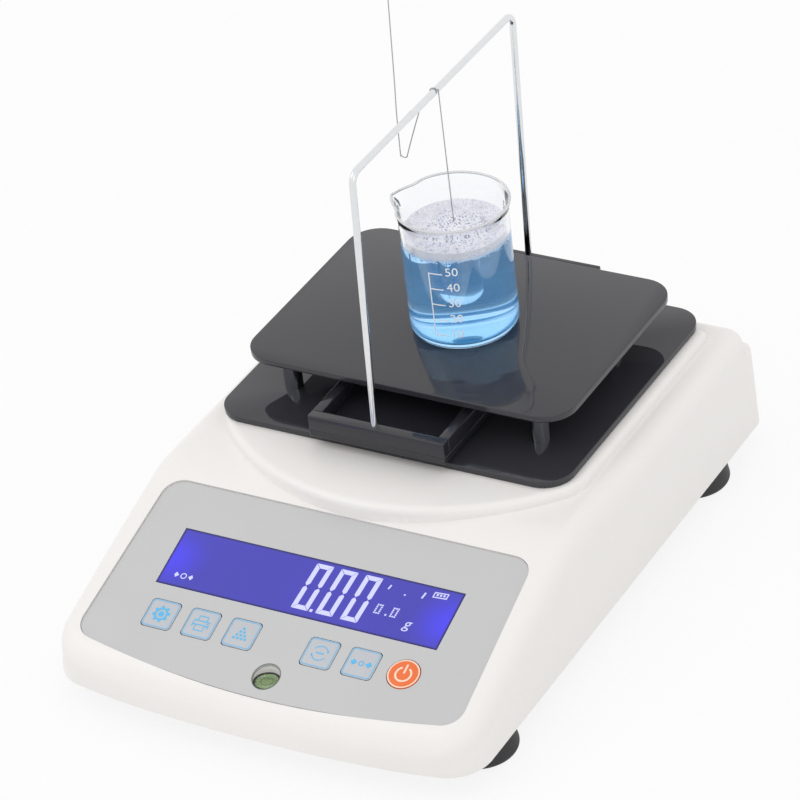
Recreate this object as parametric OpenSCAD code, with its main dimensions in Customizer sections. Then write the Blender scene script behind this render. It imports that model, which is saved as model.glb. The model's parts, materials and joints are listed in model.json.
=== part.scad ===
// Benchtop density meter for liquids: balance housing, two black decks, weighing tray,
// wire gantry, hanging glass sinker and measuring beaker. Millimetres, +Z up, front faces -Y.
// The origin is at table height, under the middle of the housing.

/* [Housing] */
// width of the housing at its lower rim
body_w = 198; // [190:1:210]
// length of the housing, front to back
body_l = 282; // [276:1:300]
// height of the flat top above the table
body_top = 60; // [58:0.5:66]
// height of the lower rim above the table
body_z0 = 11; // [10:0.5:13]
// wall thickness of the top cover
wall = 3; // [2.6:0.1:3.4]
// how far each side leans in from the rim to the shoulder
side_draft = 1.6; // [0.8:0.1:2.5]
// radius of the shoulders beside the flat top
shoulder_r = 10; // [7:0.5:12]
// radius of the shoulders beside the sloping panel
slope_r = 7; // [5:0.5:9]
// radius of the brow between the slope and the flat top
brow_r = 60; // [40:5:70]
// radius of the top's rear edge
rear_top_r = 7; // [5:0.5:9]
// plan radius of the two front corners
front_r = 18; // [12:1:22]
// plan radius of the two rear corners
rear_r = 10; // [6:1:14]
// plan radius of the bowed front edge
bow_r = 497; // [420:1:700]
// radius of the nose over the front strip
nose_r = 7; // [5:0.5:9]
// depth of the ledge across the back
ledge = 5; // [3:0.5:6]
// height of the ledge above the table
ledge_z = 48; // [46:0.5:50]
// height of the raised plateau that carries the lower deck
plateau_h = 4; // [3:0.5:5]
// plan radius of the plateau's bowed front
plateau_r = 105; // [95:0.5:110]
// rounding of the plateau's upper edge
plateau_edge = 3; // [1.5:0.25:3.5]

/* [Sloping panel] */
// lean of the panel from level, in degrees
slope = 18.34; // [17.5:0.1:19]
// thickness of the keypad overlay
overlay_t = 1; // [0.8:0.1:1.2]
// height of the cover's rim above the overlay
panel_rim = 0.8; // [0.4:0.1:1]
// margin of the overlay's top corners to the housing's widest side
panel_top_gap = 13; // [11:0.5:15]
// margin of the overlay's lower corners to the housing's widest side
panel_low_gap = 9.5; // [8:0.5:11]
// display width
lcd_w = 131; // [120:1:134]
// display height up the slope
lcd_h = 28; // [24:0.5:30]
// side of a square key
key_side = 13.6; // [12:0.2:14.4]
// distance from key to key
key_pitch = 19.05; // [18.6:0.05:19.4]
// radius of the round power key
power_r = 6.9; // [6:0.1:7.4]
// travel of each key
key_travel = 0.4; // [0.3:0.05:0.5]
// radius of the bubble level's glass
level_r = 4.9; // [4.4:0.1:5.2]

/* [Decks] */
// lower deck width
deck_w = 165; // [156:1:168]
// lower deck depth
deck_d = 138; // [134:1:142]
// platform width
top_w = 153.4; // [146:0.2:158]
// platform depth
top_d = 109.8; // [106:0.2:112]
// thickness of both decks
deck_t = 3; // [2.6:0.1:3.2]
// open height between the decks
deck_gap = 17.1; // [16:0.1:19]
// radius of a standoff
post_r = 4; // [3.4:0.1:4.6]

/* [Weighing tray] */
// tray width
tray_w = 64.2; // [60:0.2:70]
// tray depth
tray_d = 144.4; // [142:0.2:146]
// thickness of the tray's floor
tray_floor_t = 3; // [2.6:0.1:3.4]
// height of the bars on the floor
bar_h = 7; // [6:0.1:7.6]
// width of the bars along the sides
bar_w = 9; // [7:0.5:10]
// radius of the spindle
spindle_r = 4; // [3:0.1:5]

/* [Gantry, wire and sinker] */
// radius of the gantry's rod
rod_r = 1.5; // [1.3:0.1:1.6]
// height of the bar's centre above the table
bar_z = 195; // [185:1:205]
// backward lean of the gantry, in degrees
lean = 3.8; // [3:0.1:4.2]
// bend radius of the gantry's corners, at the rod's centre
bend_r = 5; // [4:0.5:8]
// radius of the sinker wire
wire_r = 0.25; // [0.2:0.05:0.3]
// radius of the sinker
sinker_r = 5.5; // [4:0.1:6]
// height of the sinker
sinker_h = 30; // [24:1:32]

/* [Beaker] */
// outer radius of the beaker
beaker_r = 21.9; // [21:0.1:22.5]
// height of the beaker
beaker_h = 60.6; // [58:0.2:63]
// wall thickness of the beaker
glass_t = 1.5; // [1.2:0.1:1.8]

/* [Feet] */
// radius of a foot at the table
foot_r = 16; // [14:0.1:16]
// clear height under the foot's top at rest
foot_gap = 1.2; // [1.2:0.1:1.6]
// radius of a foot's screw
stud_r = 4; // [3:0.1:4]

/* [Fits] */
// radial clearance of a pin turning or sliding in its hole
fit_run = 0.06; // [0.04:0.01:0.08]
// gap round keys and windows
fit_gap = 0.3; // [0.25:0.05:0.35]

/* [Hidden] */
$fn = 96;

half_w = body_w / 2;
half_l = body_l / 2;
eps = 0.01;
big = 400;

// panel frame: x across, y up the slope, z out of the overlay; v = 0 at the display's lower edge
panel_y = -half_l + 48.3;
panel_z = 39.5;
sn = sin(slope);
cs = cos(slope);
panel_top_v = 50.4;
panel_low_v = -41.2;
panel_side_v = -32.5;
panel_r = 9;
panel_top_w = half_w - panel_top_gap;
panel_low_w = half_w - panel_low_gap;
key_v = -14.5;
level_v = -30.7;
level_u = 1.4;
lcd_x = -1.1;
lcd_t = 2.8;
backlight_t = 3.2;
board_t = 1.6;
key_x = [-2.97 * key_pitch, -1.97 * key_pitch, -0.96 * key_pitch, 0.96 * key_pitch, 1.96 * key_pitch];
power_x = 2.97 * key_pitch;

// front edge in plan: a shallow arc that runs into both corner arcs
front_cx = half_w - front_r;
bow_cy = -half_l + bow_r;
front_cy = bow_cy - sqrt(pow(bow_r - front_r, 2) - pow(front_cx, 2));
rear_cx = half_w - rear_r;
rear_cy = half_l - rear_r;

// side view: front strip and slope as lines, n = outward normal, d = distance from the origin
strip_a = 22;
strip_n = [-cos(strip_a), sin(strip_a)];
strip_d = strip_n[0] * (-half_l) + strip_n[1] * body_z0;
slope_n = [-sn, cs];
slope_d = slope_n[0] * panel_y + slope_n[1] * panel_z + panel_rim;
det = strip_n[0] * slope_n[1] - strip_n[1] * slope_n[0];
nose_y = ((strip_d - nose_r) * slope_n[1] - (slope_d - nose_r) * strip_n[1]) / det;
nose_z = (strip_n[0] * (slope_d - nose_r) - slope_n[0] * (strip_d - nose_r)) / det;
brow_y = (slope_d - brow_r - slope_n[1] * (body_top - brow_r)) / slope_n[0];
rear_top_y = half_l - 1.4 - ledge;

// decks
deck_x = -2.2;
deck_back = 13;
deck_y0 = half_l - deck_back - deck_d;
deck_cy = deck_y0 + deck_d / 2;
plateau_y = half_l - 81;
plateau_side = half_w - 14;
plateau_back = half_l - 20;
plateau_top = body_top + plateau_h;
deck_z = plateau_top;
deck_top = deck_z + deck_t;
plat_y0 = deck_y0 + 16.4;
plat_cy = plat_y0 + top_d / 2;
plat_z = deck_top + deck_gap;
plat_top = plat_z + deck_t;
deck_r = 13;
top_r = 14;
post_x = top_w / 2 - 17.7;
post_front = 12.6;
post_span = 68;
post_y = [plat_y0 + post_front, plat_y0 + post_front + post_span];

// tray
tray_lift = 2;
tray_z = deck_top + tray_lift;
tray_in_z = tray_z + tray_floor_t;
tray_top = tray_in_z + bar_h;
tray_cy = deck_cy - 1.2;
tray_y0 = tray_cy - tray_d / 2;
tray_y1 = tray_cy + tray_d / 2;
hole_r = spindle_r + 5;

// gantry
gan_x = -3.7;
gan_in = 2.8;
foot_y0 = tray_y0 + gan_in;
foot_y1 = tray_y1 - gan_in;
tl = tan(lean);
bar_len = foot_y1 - foot_y0;
top_y0 = foot_y0 + (bar_z - tray_top) * tl;
top_y1 = foot_y1 + (bar_z - tray_top) * tl;

// beaker, wire and sinker
beaker_x = 1.9;
beaker_y = plat_cy - 0.3;
hang_y = beaker_y + 4.6;
hook_r = rod_r + fit_gap + wire_r;
hook_z = bar_z + rod_r + wire_r + 0.03 - hook_r;
strand_x = gan_x + hook_r;
beaker_in_z = plat_top + 2.4;
sinker_z = beaker_in_z + 8.5;
ring_r = 1.9;
ring_t = 0.6;
ring_z = sinker_z + sinker_h + ring_r + 0.4;

// feet
foot_x = half_w - 16;
foot_yf = -half_l + 42.5;
foot_yr = half_l - 42.5;
base_z = body_z0 + 1;
base_t = 3;
base_top = base_z + base_t;
foot_top = base_z - foot_gap - 0.4;

// inside
cell_w = 12.7;
cell_l = 80;
cell_z = base_top + 9;
cell_top = cell_z + cell_w;
arm_t = 3;
mount_y = deck_cy - 58;
board_z = base_top + 6;
shaft_top = tray_z - 1.6;

module plan(inset) {
  w = half_w - inset;
  fr = front_r - inset;
  rr = rear_r - inset;
  tx = front_cx * (bow_r - inset) / (bow_r - front_r);
  union() {
    translate([-w, front_cy]) square([2 * w, rear_cy - front_cy]);
    translate([-rear_cx, front_cy]) square([2 * rear_cx, half_l - inset - front_cy]);
    for (s = [-1, 1]) {
      translate([s * rear_cx, rear_cy]) circle(r = rr);
      translate([s * front_cx, front_cy]) circle(r = fr);
    }
    intersection() {
      translate([0, bow_cy]) circle(r = bow_r - inset, $fn = 720);
      translate([-tx, -half_l - 5]) square([2 * tx, front_cy + half_l + 5 + eps]);
    }
  }
}

// y to the right, z up
module side_view(inset, low) {
  r1 = nose_r - inset;
  r2 = brow_r - inset;
  r3 = rear_top_r - inset;
  f_low_y = (strip_d - inset - strip_n[1] * low) / strip_n[0];
  ts = [brow_y + r2 * slope_n[0], body_top - brow_r + r2 * slope_n[1]];
  union() {
    polygon([
      [f_low_y, low],
      [half_l - inset, low],
      [half_l - inset, body_z0],
      [half_l - 1.4 - inset, ledge_z - inset],
      [rear_top_y - inset, ledge_z - inset],
      [rear_top_y - inset, body_top - rear_top_r],
      [rear_top_y - rear_top_r, body_top - inset],
      [brow_y, body_top - inset],
      ts,
      [nose_y + r1 * slope_n[0], nose_z + r1 * slope_n[1]],
      [nose_y + r1 * strip_n[0], nose_z + r1 * strip_n[1]]
    ]);
    translate([nose_y, nose_z]) circle(r = r1 - eps);
    translate([rear_top_y - rear_top_r, body_top - rear_top_r]) circle(r = r3 - eps);
    intersection() {
      translate([brow_y, body_top - brow_r]) circle(r = r2 - eps, $fn = 180);
      polygon([[brow_y - 2, body_top - brow_r], [brow_y - 0.2, body_top + 5], ts + 2 * slope_n]);
    }
  }
}

// x to the right, z up
module end_view(inset, low) {
  w = half_w - inset;
  wt = w - side_draft;
  zs = body_top - shoulder_r;
  r = shoulder_r - inset;
  union() {
    polygon([
      [-w, low], [w, low], [w, body_z0], [wt, zs], [half_w - side_draft - shoulder_r, body_top - inset],
      [-(half_w - side_draft - shoulder_r), body_top - inset], [-wt, zs], [-w, body_z0]
    ]);
    for (s = [-1, 1]) {
      translate([s * (half_w - side_draft - shoulder_r), zs]) circle(r = r - eps);
    }
  }
}

// the same shoulders, set along the slope
module slope_view(inset) {
  w = half_w - inset;
  cx = half_w - 1 - slope_r;
  union() {
    translate([-cx, -big / 2]) square([2 * cx, big / 2 + panel_rim - inset]);
    translate([-w, -big / 2]) square([2 * w, big / 2 + panel_rim - slope_r]);
    for (s = [-1, 1]) {
      translate([s * cx, panel_rim - slope_r]) circle(r = slope_r - inset - eps);
    }
  }
}

module on_panel() {
  translate([0, panel_y, panel_z]) rotate([slope, 0, 0]) children();
}

module shell(inset, low) {
  intersection() {
    translate([0, 0, low]) linear_extrude(body_top + 20 - low) plan(inset);
    rotate([90, 0, 90]) translate([0, 0, -half_w - 5]) linear_extrude(body_w + 10) side_view(inset, low);
    rotate([90, 0, 0]) translate([0, 0, -half_l - 5]) linear_extrude(body_l + 10) end_view(inset, low);
    on_panel() rotate([90, 0, 0]) translate([0, 0, -big]) linear_extrude(2 * big) slope_view(inset);
  }
}

// raised plateau: a bowed front, straight sides and back, all with the same soft upper edge
module plateau_edge_profile(reach, inset, low) {
  e = plateau_edge;
  r = e - min(inset, e - 0.5);
  top = plateau_top - inset;
  union() {
    polygon([[0, low], [reach - inset, low], [reach - inset, top - r], [reach - inset - r, top], [0, top]]);
    translate([reach - inset - r, top - r]) circle(r = r - eps);
  }
}

module plateau(inset, low) {
  intersection() {
    translate([0, plateau_y, 0]) rotate_extrude() plateau_edge_profile(plateau_r, inset, low);
    rotate([90, 0, 0]) translate([0, 0, -half_l]) linear_extrude(body_l) union() {
      plateau_edge_profile(plateau_side, inset, low);
      mirror([1, 0, 0]) plateau_edge_profile(plateau_side, inset, low);
    }
    rotate([90, 0, 90]) translate([0, 0, -half_w]) linear_extrude(body_w) union() {
      plateau_edge_profile(plateau_back, inset, low);
      translate([-half_l, low]) square([half_l + 1, plateau_top - inset - low]);
    }
  }
}

module panel_outline(grow) {
  pr = panel_r + grow;
  cxt = panel_top_w - panel_r;
  cyt = panel_top_v - panel_r;
  cxl = panel_low_w - panel_r - 0.6;
  cyl = panel_side_v + panel_r - 1;
  rise = cyl - panel_low_v;
  arc_r = (cxl * cxl + rise * rise - panel_r * panel_r) / (2 * (rise - panel_r));
  tx = cxl * (arc_r + grow) / (arc_r - panel_r);
  union() {
    polygon([[-cxl - pr, cyl], [cxl + pr, cyl], [cxt + pr, cyt], [cxt, panel_top_v + grow],
      [-cxt, panel_top_v + grow], [-cxt - pr, cyt]]);
    for (s = [-1, 1]) {
      translate([s * cxt, cyt]) circle(r = pr - eps);
      translate([s * cxl, cyl]) circle(r = pr - eps);
    }
    intersection() {
      translate([0, panel_low_v + arc_r]) circle(r = arc_r + grow, $fn = 720);
      translate([-tx, panel_low_v - 3]) square([2 * tx, cyl - panel_low_v + 4]);
    }
  }
}

module key_shape(i, grow) {
  if (i == 5) {
    translate([power_x, key_v]) circle(r = power_r + grow);
  } else {
    s = key_side / 2 + grow;
    c = 2;
    translate([key_x[i], key_v]) union() {
      translate([-s, -s + c]) square([2 * s, 2 * s - 2 * c]);
      translate([-s + c, -s]) square([2 * s - 2 * c, 2 * s]);
      for (a = [-1, 1], b = [-1, 1]) {
        translate([a * (s - c), b * (s - c)]) circle(r = c);
      }
    }
  }
}

level_y = panel_y + level_v * cs;
level_mid_z = panel_z + level_v * sn;
level_top = level_mid_z - (level_r + 1.2) * tan(slope) - 0.2;
level_low = base_top + 2.2;
cover_boss = [[-40, -half_l + 17], [40, -half_l + 17], [-62, half_l - 21], [62, half_l - 21]];
boss_u = lcd_w / 2 + 4.5;
board_boss = [[-boss_u, 12], [boss_u, 12], [-47, -3.2], [47, -3.2]];
port_x = 34;
port_z = 28;
jack_x = -34;
recess_y = half_l - 5.6;
pad_y = half_l - 9.4;

module upper_cover() {
  color([0.94, 0.93, 0.91]) difference() {
    union() {
      difference() {
        union() {
          shell(0, body_z0);
          plateau(0, body_top - 7);
        }
        shell(wall, body_z0 - 10);
        plateau(wall, body_top - 8);
      }
      intersection() {
        shell(0.5, body_z0);
        union() {
          for (p = cover_boss) {
            translate([p[0], p[1], base_top]) cylinder(r = 4.5, h = 60);
          }
          translate([level_u, level_y, level_low + 1.6]) cylinder(r = level_r + 3.2, h = 40);
          on_panel() for (p = board_boss) {
            translate([p[0], p[1], -lcd_t - backlight_t]) cylinder(r = 2.6, h = lcd_t + backlight_t);
          }
          translate([-56, pad_y, base_top + 1]) cube([112, 9, 27]);
        }
      }
    }
    // seat of the overlay, with its windows
    on_panel() translate([0, 0, -overlay_t]) linear_extrude(20) panel_outline(0.15);
    on_panel() translate([lcd_x - lcd_w / 2 - fit_gap, -fit_gap, -20])
      cube([lcd_w + 2 * fit_gap, lcd_h + 2 * fit_gap, 30]);
    for (i = [0 : 5]) {
      on_panel() translate([0, 0, -8]) linear_extrude(20) key_shape(i, fit_gap);
    }
    translate([level_u, level_y, level_low - 5]) cylinder(r = level_r + 0.9, h = 60);
    // spindle hole
    translate([deck_x, deck_cy, body_top - 30]) cylinder(r = hole_r, h = 60);
    // screw holes of the lower bosses and of the display board's bosses
    for (p = cover_boss) {
      translate([p[0], p[1], base_top - 1]) cylinder(r = 1.5 + fit_run, h = 9);
    }
    on_panel() for (p = board_boss) {
      translate([p[0], p[1], -lcd_t - backlight_t - 1]) cylinder(r = 1.2 + fit_run, h = 5);
    }
    // socket recess in the back, and its two openings
    translate([-52, recess_y, port_z - 10]) cube([104, 20, 20]);
    translate([jack_x, pad_y - 5, port_z]) rotate([-90, 0, 0]) cylinder(r = 4.2, h = 20);
    translate([port_x - 9.2, pad_y - 5, port_z - 4.4]) cube([18.4, 20, 8.8]);
    for (s = [-1, 1]) {
      translate([port_x + s * 12.5, pad_y - 5, port_z]) rotate([-90, 0, 0]) cylinder(r = 1.5 + fit_run, h = 20);
    }
  }
}

module base_tray() {
  color([0.86, 0.86, 0.85]) difference() {
    union() {
      intersection() {
        shell(wall + fit_gap, body_z0 - 10);
        translate([-half_w, -half_l, base_z]) cube([body_w, body_l, base_t]);
      }
      for (p = foot_at) {
        translate([p[0], p[1], base_z]) cylinder(r = 9, h = 13);
      }
      for (p = board_post) {
        translate([p[0], p[1], base_z]) cylinder(r = 3.2, h = board_z - base_z);
      }
      translate([battery_x - 19, battery_y - 38, base_z]) cube([38, 2, base_t + 9]);
      translate([battery_x - 19, battery_y + 36, base_z]) cube([38, 2, base_t + 9]);
    }
    for (p = foot_at) {
      translate([p[0], p[1], base_z - 1]) cylinder(r = 6, h = 20);
    }
    for (p = cover_boss) {
      translate([p[0], p[1], base_z - 1]) cylinder(r = 1.5 + fit_gap, h = 10);
      translate([p[0], p[1], base_z - 1]) cylinder(r = 3 + fit_gap, h = 2.6);
    }
    for (p = board_post) {
      translate([p[0], p[1], board_z - 8]) cylinder(r = 1.2 + fit_run, h = 20);
    }
    for (s = [-1, 1]) {
      translate([deck_x, mount_y + s * 8, base_z - 1]) cylinder(r = 2 + fit_gap, h = 10);
      translate([deck_x, mount_y + s * 8, base_z - 1]) cylinder(r = 4 + fit_gap, h = 2.8);
    }
    translate([deck_x, deck_cy, base_z - 1]) cylinder(r = 3, h = 10);
    // bare pocket for a rating plate, and air slots
    translate([-75, -60, base_z - 1]) cube([46, 26, 1.5]);
    for (i = [0 : 4]) {
      translate([25 + i * 8, -60, base_z - 1]) cube([3, 30, 10]);
    }
  }
}

foot_at = [[-foot_x, foot_yf], [foot_x, foot_yf], [-foot_x, foot_yr], [foot_x, foot_yr]];
board_post = [[-50, half_l - 52], [50, half_l - 52], [-50, half_l - 28], [50, half_l - 28]];
battery_x = -half_w + 43;
battery_y = 0;

module cover_screws() {
  color([0.7, 0.7, 0.72]) for (p = cover_boss) {
    difference() {
      union() {
        translate([p[0], p[1], base_z + 0.1]) cylinder(r = 3, h = 1.5);
        translate([p[0], p[1], base_z + 0.2]) cylinder(r = 1.5, h = 9);
      }
      translate([p[0] - 2, p[1] - 0.4, base_z]) cube([4, 0.8, 0.9]);
      translate([p[0] - 0.4, p[1] - 2, base_z]) cube([0.8, 4, 0.9]);
    }
  }
}

module panel_overlay() {
  color([0.76, 0.76, 0.77]) difference() {
    on_panel() translate([0, 0, -overlay_t]) linear_extrude(overlay_t) difference() {
      panel_outline(0);
      translate([lcd_x - lcd_w / 2 - fit_gap, -fit_gap]) square([lcd_w + 2 * fit_gap, lcd_h + 2 * fit_gap]);
      for (i = [0 : 5]) {
        key_shape(i, fit_gap);
      }
    }
    translate([level_u, level_y, level_low - 5]) cylinder(r = level_r + 0.9, h = 60);
  }
}

module lcd_glass() {
  color([0.27, 0.25, 0.75]) on_panel() translate([lcd_x - lcd_w / 2, 0, -lcd_t]) cube([lcd_w, lcd_h, lcd_t]);
}

module lcd_backlight() {
  color([0.85, 0.88, 1]) on_panel() translate([lcd_x - lcd_w / 2 + 1, 1, -lcd_t - backlight_t])
    cube([lcd_w - 2, lcd_h - 2, backlight_t]);
}

module lcd_frame() {
  z0 = -lcd_t - backlight_t;
  color([0.2, 0.2, 0.22]) on_panel() difference() {
    translate([lcd_x - lcd_w / 2 + 0.4, 0.4, z0]) cube([lcd_w - 0.8, lcd_h - 0.8, backlight_t - 0.1]);
    translate([lcd_x - lcd_w / 2 + 0.9, 0.9, z0 - 1]) cube([lcd_w - 1.8, lcd_h - 1.8, 20]);
  }
}

module display_board() {
  color([0.05, 0.35, 0.2]) on_panel() difference() {
    translate([-boss_u - 5, -23, -lcd_t - backlight_t - board_t]) cube([2 * boss_u + 10, 54, board_t]);
    for (p = board_boss) {
      translate([p[0], p[1], -20]) cylinder(r = 1.2 + fit_gap, h = 30);
    }
  }
}

module display_screws() {
  z0 = -lcd_t - backlight_t - board_t;
  color([0.7, 0.7, 0.72]) on_panel() for (p = board_boss) {
    difference() {
      union() {
        translate([p[0], p[1], z0 - 1.6]) cylinder(r = 2.3, h = 1.6);
        translate([p[0], p[1], z0 - 0.2]) cylinder(r = 1.2, h = 5);
      }
      translate([p[0] - 1.5, p[1] - 0.3, z0 - 2]) cube([3, 0.6, 1.2]);
    }
  }
}

module key_switches() {
  z0 = -lcd_t - backlight_t;
  color([0.15, 0.15, 0.16]) on_panel() for (i = [0 : 5]) {
    x = i == 5 ? power_x : key_x[i];
    translate([x - 3, key_v - 3, z0]) cube([6, 6, 1.0]);
    translate([x, key_v, z0]) cylinder(r = 1.4, h = 1.3);
  }
}

module key_cap(i) {
  x = i == 5 ? power_x : key_x[i];
  inner = panel_rim - wall;
  color(i == 5 ? [0.95, 0.42, 0.2] : [0.76, 0.8, 0.84]) on_panel() union() {
    translate([0, 0, inner - 1.1]) linear_extrude(-inner + 1.1 + 0.25) key_shape(i, 0);
    translate([0, 0, inner - 1.1]) linear_extrude(1.0) key_shape(i, 0.9);
    translate([x, key_v, -lcd_t - backlight_t + 1.3 + key_travel + 0.05])
      cylinder(r = 1.5, h = lcd_t + backlight_t + inner - 1.3 - key_travel - 0.5);
  }
}

module key_1() { key_cap(0); }
module key_2() { key_cap(1); }
module key_3() { key_cap(2); }
module key_4() { key_cap(3); }
module key_5() { key_cap(4); }
module key_power() { key_cap(5); }

module level_cup() {
  color([0.12, 0.13, 0.13]) translate([level_u, level_y, 0]) difference() {
    union() {
      translate([0, 0, level_low]) cylinder(r = level_r + 2.8, h = 1.5);
      translate([0, 0, level_low]) cylinder(r = level_r + 0.85, h = level_top - level_low);
    }
    translate([0, 0, level_low + 1.5]) cylinder(r = level_r + 0.03, h = 30);
  }
}

module level_glass() {
  color([0.8, 0.95, 0.8, 0.5]) translate([level_u, level_y, level_top - 2.2]) cylinder(r = level_r, h = 2);
}

module level_fluid() {
  color([0.6, 0.85, 0.5, 0.8]) translate([level_u, level_y, level_low + 1.5])
    cylinder(r = level_r, h = level_top - 2.2 - level_low - 1.5);
}

module foot_pad(p) {
  hr = 6;
  e = 2.5;
  color([0.16, 0.16, 0.17]) translate([p[0], p[1], 0]) difference() {
    rotate_extrude() union() {
      polygon([[0, 0], [foot_r - e, 0], [foot_r, e], [foot_r - 1.4, foot_top], [0, foot_top]]);
      translate([foot_r - e, e]) circle(r = e, $fn = 48);
    }
    translate([0, 0, 3]) cylinder(r = hr + fit_run, h = 3.6 + 0.3);
    translate([0, 0, 3]) cylinder(r = stud_r + fit_run, h = 20);
  }
}

module foot_front_left() { foot_pad(foot_at[0]); }
module foot_front_right() { foot_pad(foot_at[1]); }
module foot_rear_left() { foot_pad(foot_at[2]); }
module foot_rear_right() { foot_pad(foot_at[3]); }

module stud(p) {
  color([0.75, 0.75, 0.77]) translate([p[0], p[1], 0]) difference() {
    union() {
      translate([0, 0, 3.1]) cylinder(r = 6, h = 3.6);
      translate([0, 0, 3.1]) cylinder(r = stud_r, h = base_z + 19 - 3.1);
    }
    translate([-stud_r - 1, -0.6, base_z + 17.5]) cube([2 * stud_r + 2, 1.2, 5]);
  }
}

module stud_front_left() { stud(foot_at[0]); }
module stud_front_right() { stud(foot_at[1]); }
module stud_rear_left() { stud(foot_at[2]); }
module stud_rear_right() { stud(foot_at[3]); }

module foot_inserts() {
  color([0.8, 0.65, 0.3]) for (p = foot_at) {
    translate([p[0], p[1], base_z + 0.3]) difference() {
      union() {
        cylinder(r = 6 - 0.02, h = 13);
        translate([0, 0, 12.7 + 0.02]) cylinder(r = 7.6, h = 1.2);
      }
      translate([0, 0, -1]) cylinder(r = stud_r + fit_run, h = 30);
    }
  }
}

module cell_mount() {
  color([0.62, 0.63, 0.65]) translate([deck_x, mount_y, base_top]) difference() {
    translate([-14, -13, 0]) cube([28, 26, cell_z - base_top]);
    for (s = [-1, 1]) {
      translate([0, s * 8, -1]) cylinder(r = 2 + fit_run, h = 20);
    }
  }
}

module load_cell() {
  color([0.75, 0.76, 0.78]) difference() {
    translate([deck_x - cell_w / 2, mount_y - 11, cell_z]) cube([cell_w, cell_l, cell_w]);
    // paired round holes joined by a slot: the bending points
    for (s = [-1, 1]) {
      translate([deck_x - 20, mount_y + 29 + s * 9, cell_z + cell_w / 2]) rotate([0, 90, 0]) cylinder(r = 4.9, h = 40);
    }
    translate([deck_x - 20, mount_y + 20, cell_z + cell_w / 2 - 2]) cube([40, 18, 4]);
    for (s = [-1, 1]) {
      translate([deck_x, mount_y + s * 8, cell_z - 1]) cylinder(r = 2 + fit_run, h = 20);
      translate([deck_x, deck_cy + s * 6, cell_z + 5]) cylinder(r = 2 + fit_run, h = 20);
    }
  }
}

module cell_screws() {
  color([0.3, 0.3, 0.32]) for (s = [-1, 1]) {
    translate([deck_x, mount_y + s * 8, 0]) {
      translate([0, 0, base_z + 0.1]) cylinder(r = 4, h = 1.7);
      translate([0, 0, base_z + 0.2]) cylinder(r = 2, h = cell_top - 2 - base_z);
    }
    translate([deck_x, deck_cy + s * 6, 0]) {
      translate([0, 0, cell_top + arm_t]) cylinder(r = 3.4, h = 2.6);
      translate([0, 0, cell_z + 5.4]) cylinder(r = 2, h = cell_top + arm_t - cell_z - 5);
    }
  }
}

module pan_arm() {
  color([0.7, 0.71, 0.73]) translate([deck_x, deck_cy, cell_top]) difference() {
    union() {
      translate([-cell_w / 2, -10, 0]) cube([cell_w, 20, arm_t]);
      translate([-24, -6, 0]) cube([48, 12, arm_t]);
      for (s = [-1, 1]) {
        translate([s * 20, 0, arm_t]) translate([-2, -6, 0]) cube([4, 12, 8]);
      }
      translate([-22, -6, arm_t + 8]) cube([44, 12, arm_t]);
    }
    for (s = [-1, 1]) {
      translate([0, s * 6, -1]) cylinder(r = 2 + fit_run, h = arm_t + 2);
    }
    translate([0, 0, arm_t + 7]) cylinder(r = spindle_r - 1 + fit_run, h = 20);
  }
}

module pan_spindle() {
  z0 = cell_top + 2 * arm_t + 8;
  color([0.78, 0.79, 0.8]) translate([deck_x, deck_cy, 0]) union() {
    translate([0, 0, z0 - arm_t]) cylinder(r = spindle_r - 1, h = arm_t + 2);
    translate([0, 0, z0]) cylinder(r = spindle_r, h = tray_in_z - 0.2 - z0);
    translate([0, 0, shaft_top + 0.2]) cylinder(r = hole_r + 4, h = tray_z - shaft_top - 0.2);
  }
}

module overload_stop() {
  color([0.6, 0.6, 0.62]) translate([deck_x, deck_cy, 0]) union() {
    translate([0, 0, base_z + 0.2]) cylinder(r = 3 - 0.04, h = base_t);
    translate([0, 0, base_top + 0.02]) cylinder(r = 5, h = 3, $fn = 6);
    translate([0, 0, base_top]) cylinder(r = 3 - 0.04, h = cell_z - base_top - 0.3);
  }
}

module main_board() {
  color([0.05, 0.32, 0.18]) difference() {
    translate([-55, half_l - 58, board_z]) cube([110, 38, board_t]);
    for (p = board_post) {
      translate([p[0], p[1], board_z - 1]) cylinder(r = 1.2 + fit_gap, h = 10);
    }
  }
}

module board_screws() {
  color([0.7, 0.7, 0.72]) for (p = board_post) {
    difference() {
      union() {
        translate([p[0], p[1], board_z + board_t]) cylinder(r = 2.3, h = 1.6);
        translate([p[0], p[1], board_z - 5]) cylinder(r = 1.2, h = board_t + 5.5);
      }
      translate([p[0] - 1.5, p[1] - 0.3, board_z + board_t + 0.8]) cube([3, 0.6, 2]);
    }
  }
}

module processor() {
  z0 = board_z + board_t;
  color([0.1, 0.1, 0.11]) union() {
    translate([-12, half_l - 48, z0]) cube([14, 14, 2]);
    translate([16, half_l - 46, z0]) cube([10, 6, 1.8]);
    translate([-36, half_l - 46, z0]) cube([12, 9, 2.4]);
  }
}

module capacitors() {
  z0 = board_z + board_t;
  color([0.15, 0.2, 0.5]) for (p = [[34, 43], [44, 40], [-44, 50], [8, 54]]) {
    translate([p[0], half_l - p[1], z0]) cylinder(r = 3, h = 9);
  }
}

module battery() {
  color([0.25, 0.27, 0.3]) union() {
    translate([battery_x - 17, battery_y - 35.8, base_top]) cube([34, 71.6, 24]);
    for (s = [-1, 1]) {
      translate([battery_x - 2, battery_y + s * 28 - 3, base_top + 24]) cube([4, 6, 3]);
    }
  }
}

module battery_strap() {
  color([0.1, 0.1, 0.1]) difference() {
    translate([battery_x - 18.6, battery_y - 8, base_top]) cube([37.2, 16, 25.6]);
    translate([battery_x - 17.1, battery_y - 20, base_top - 1]) cube([34.2, 40, 25.1]);
  }
}

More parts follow.
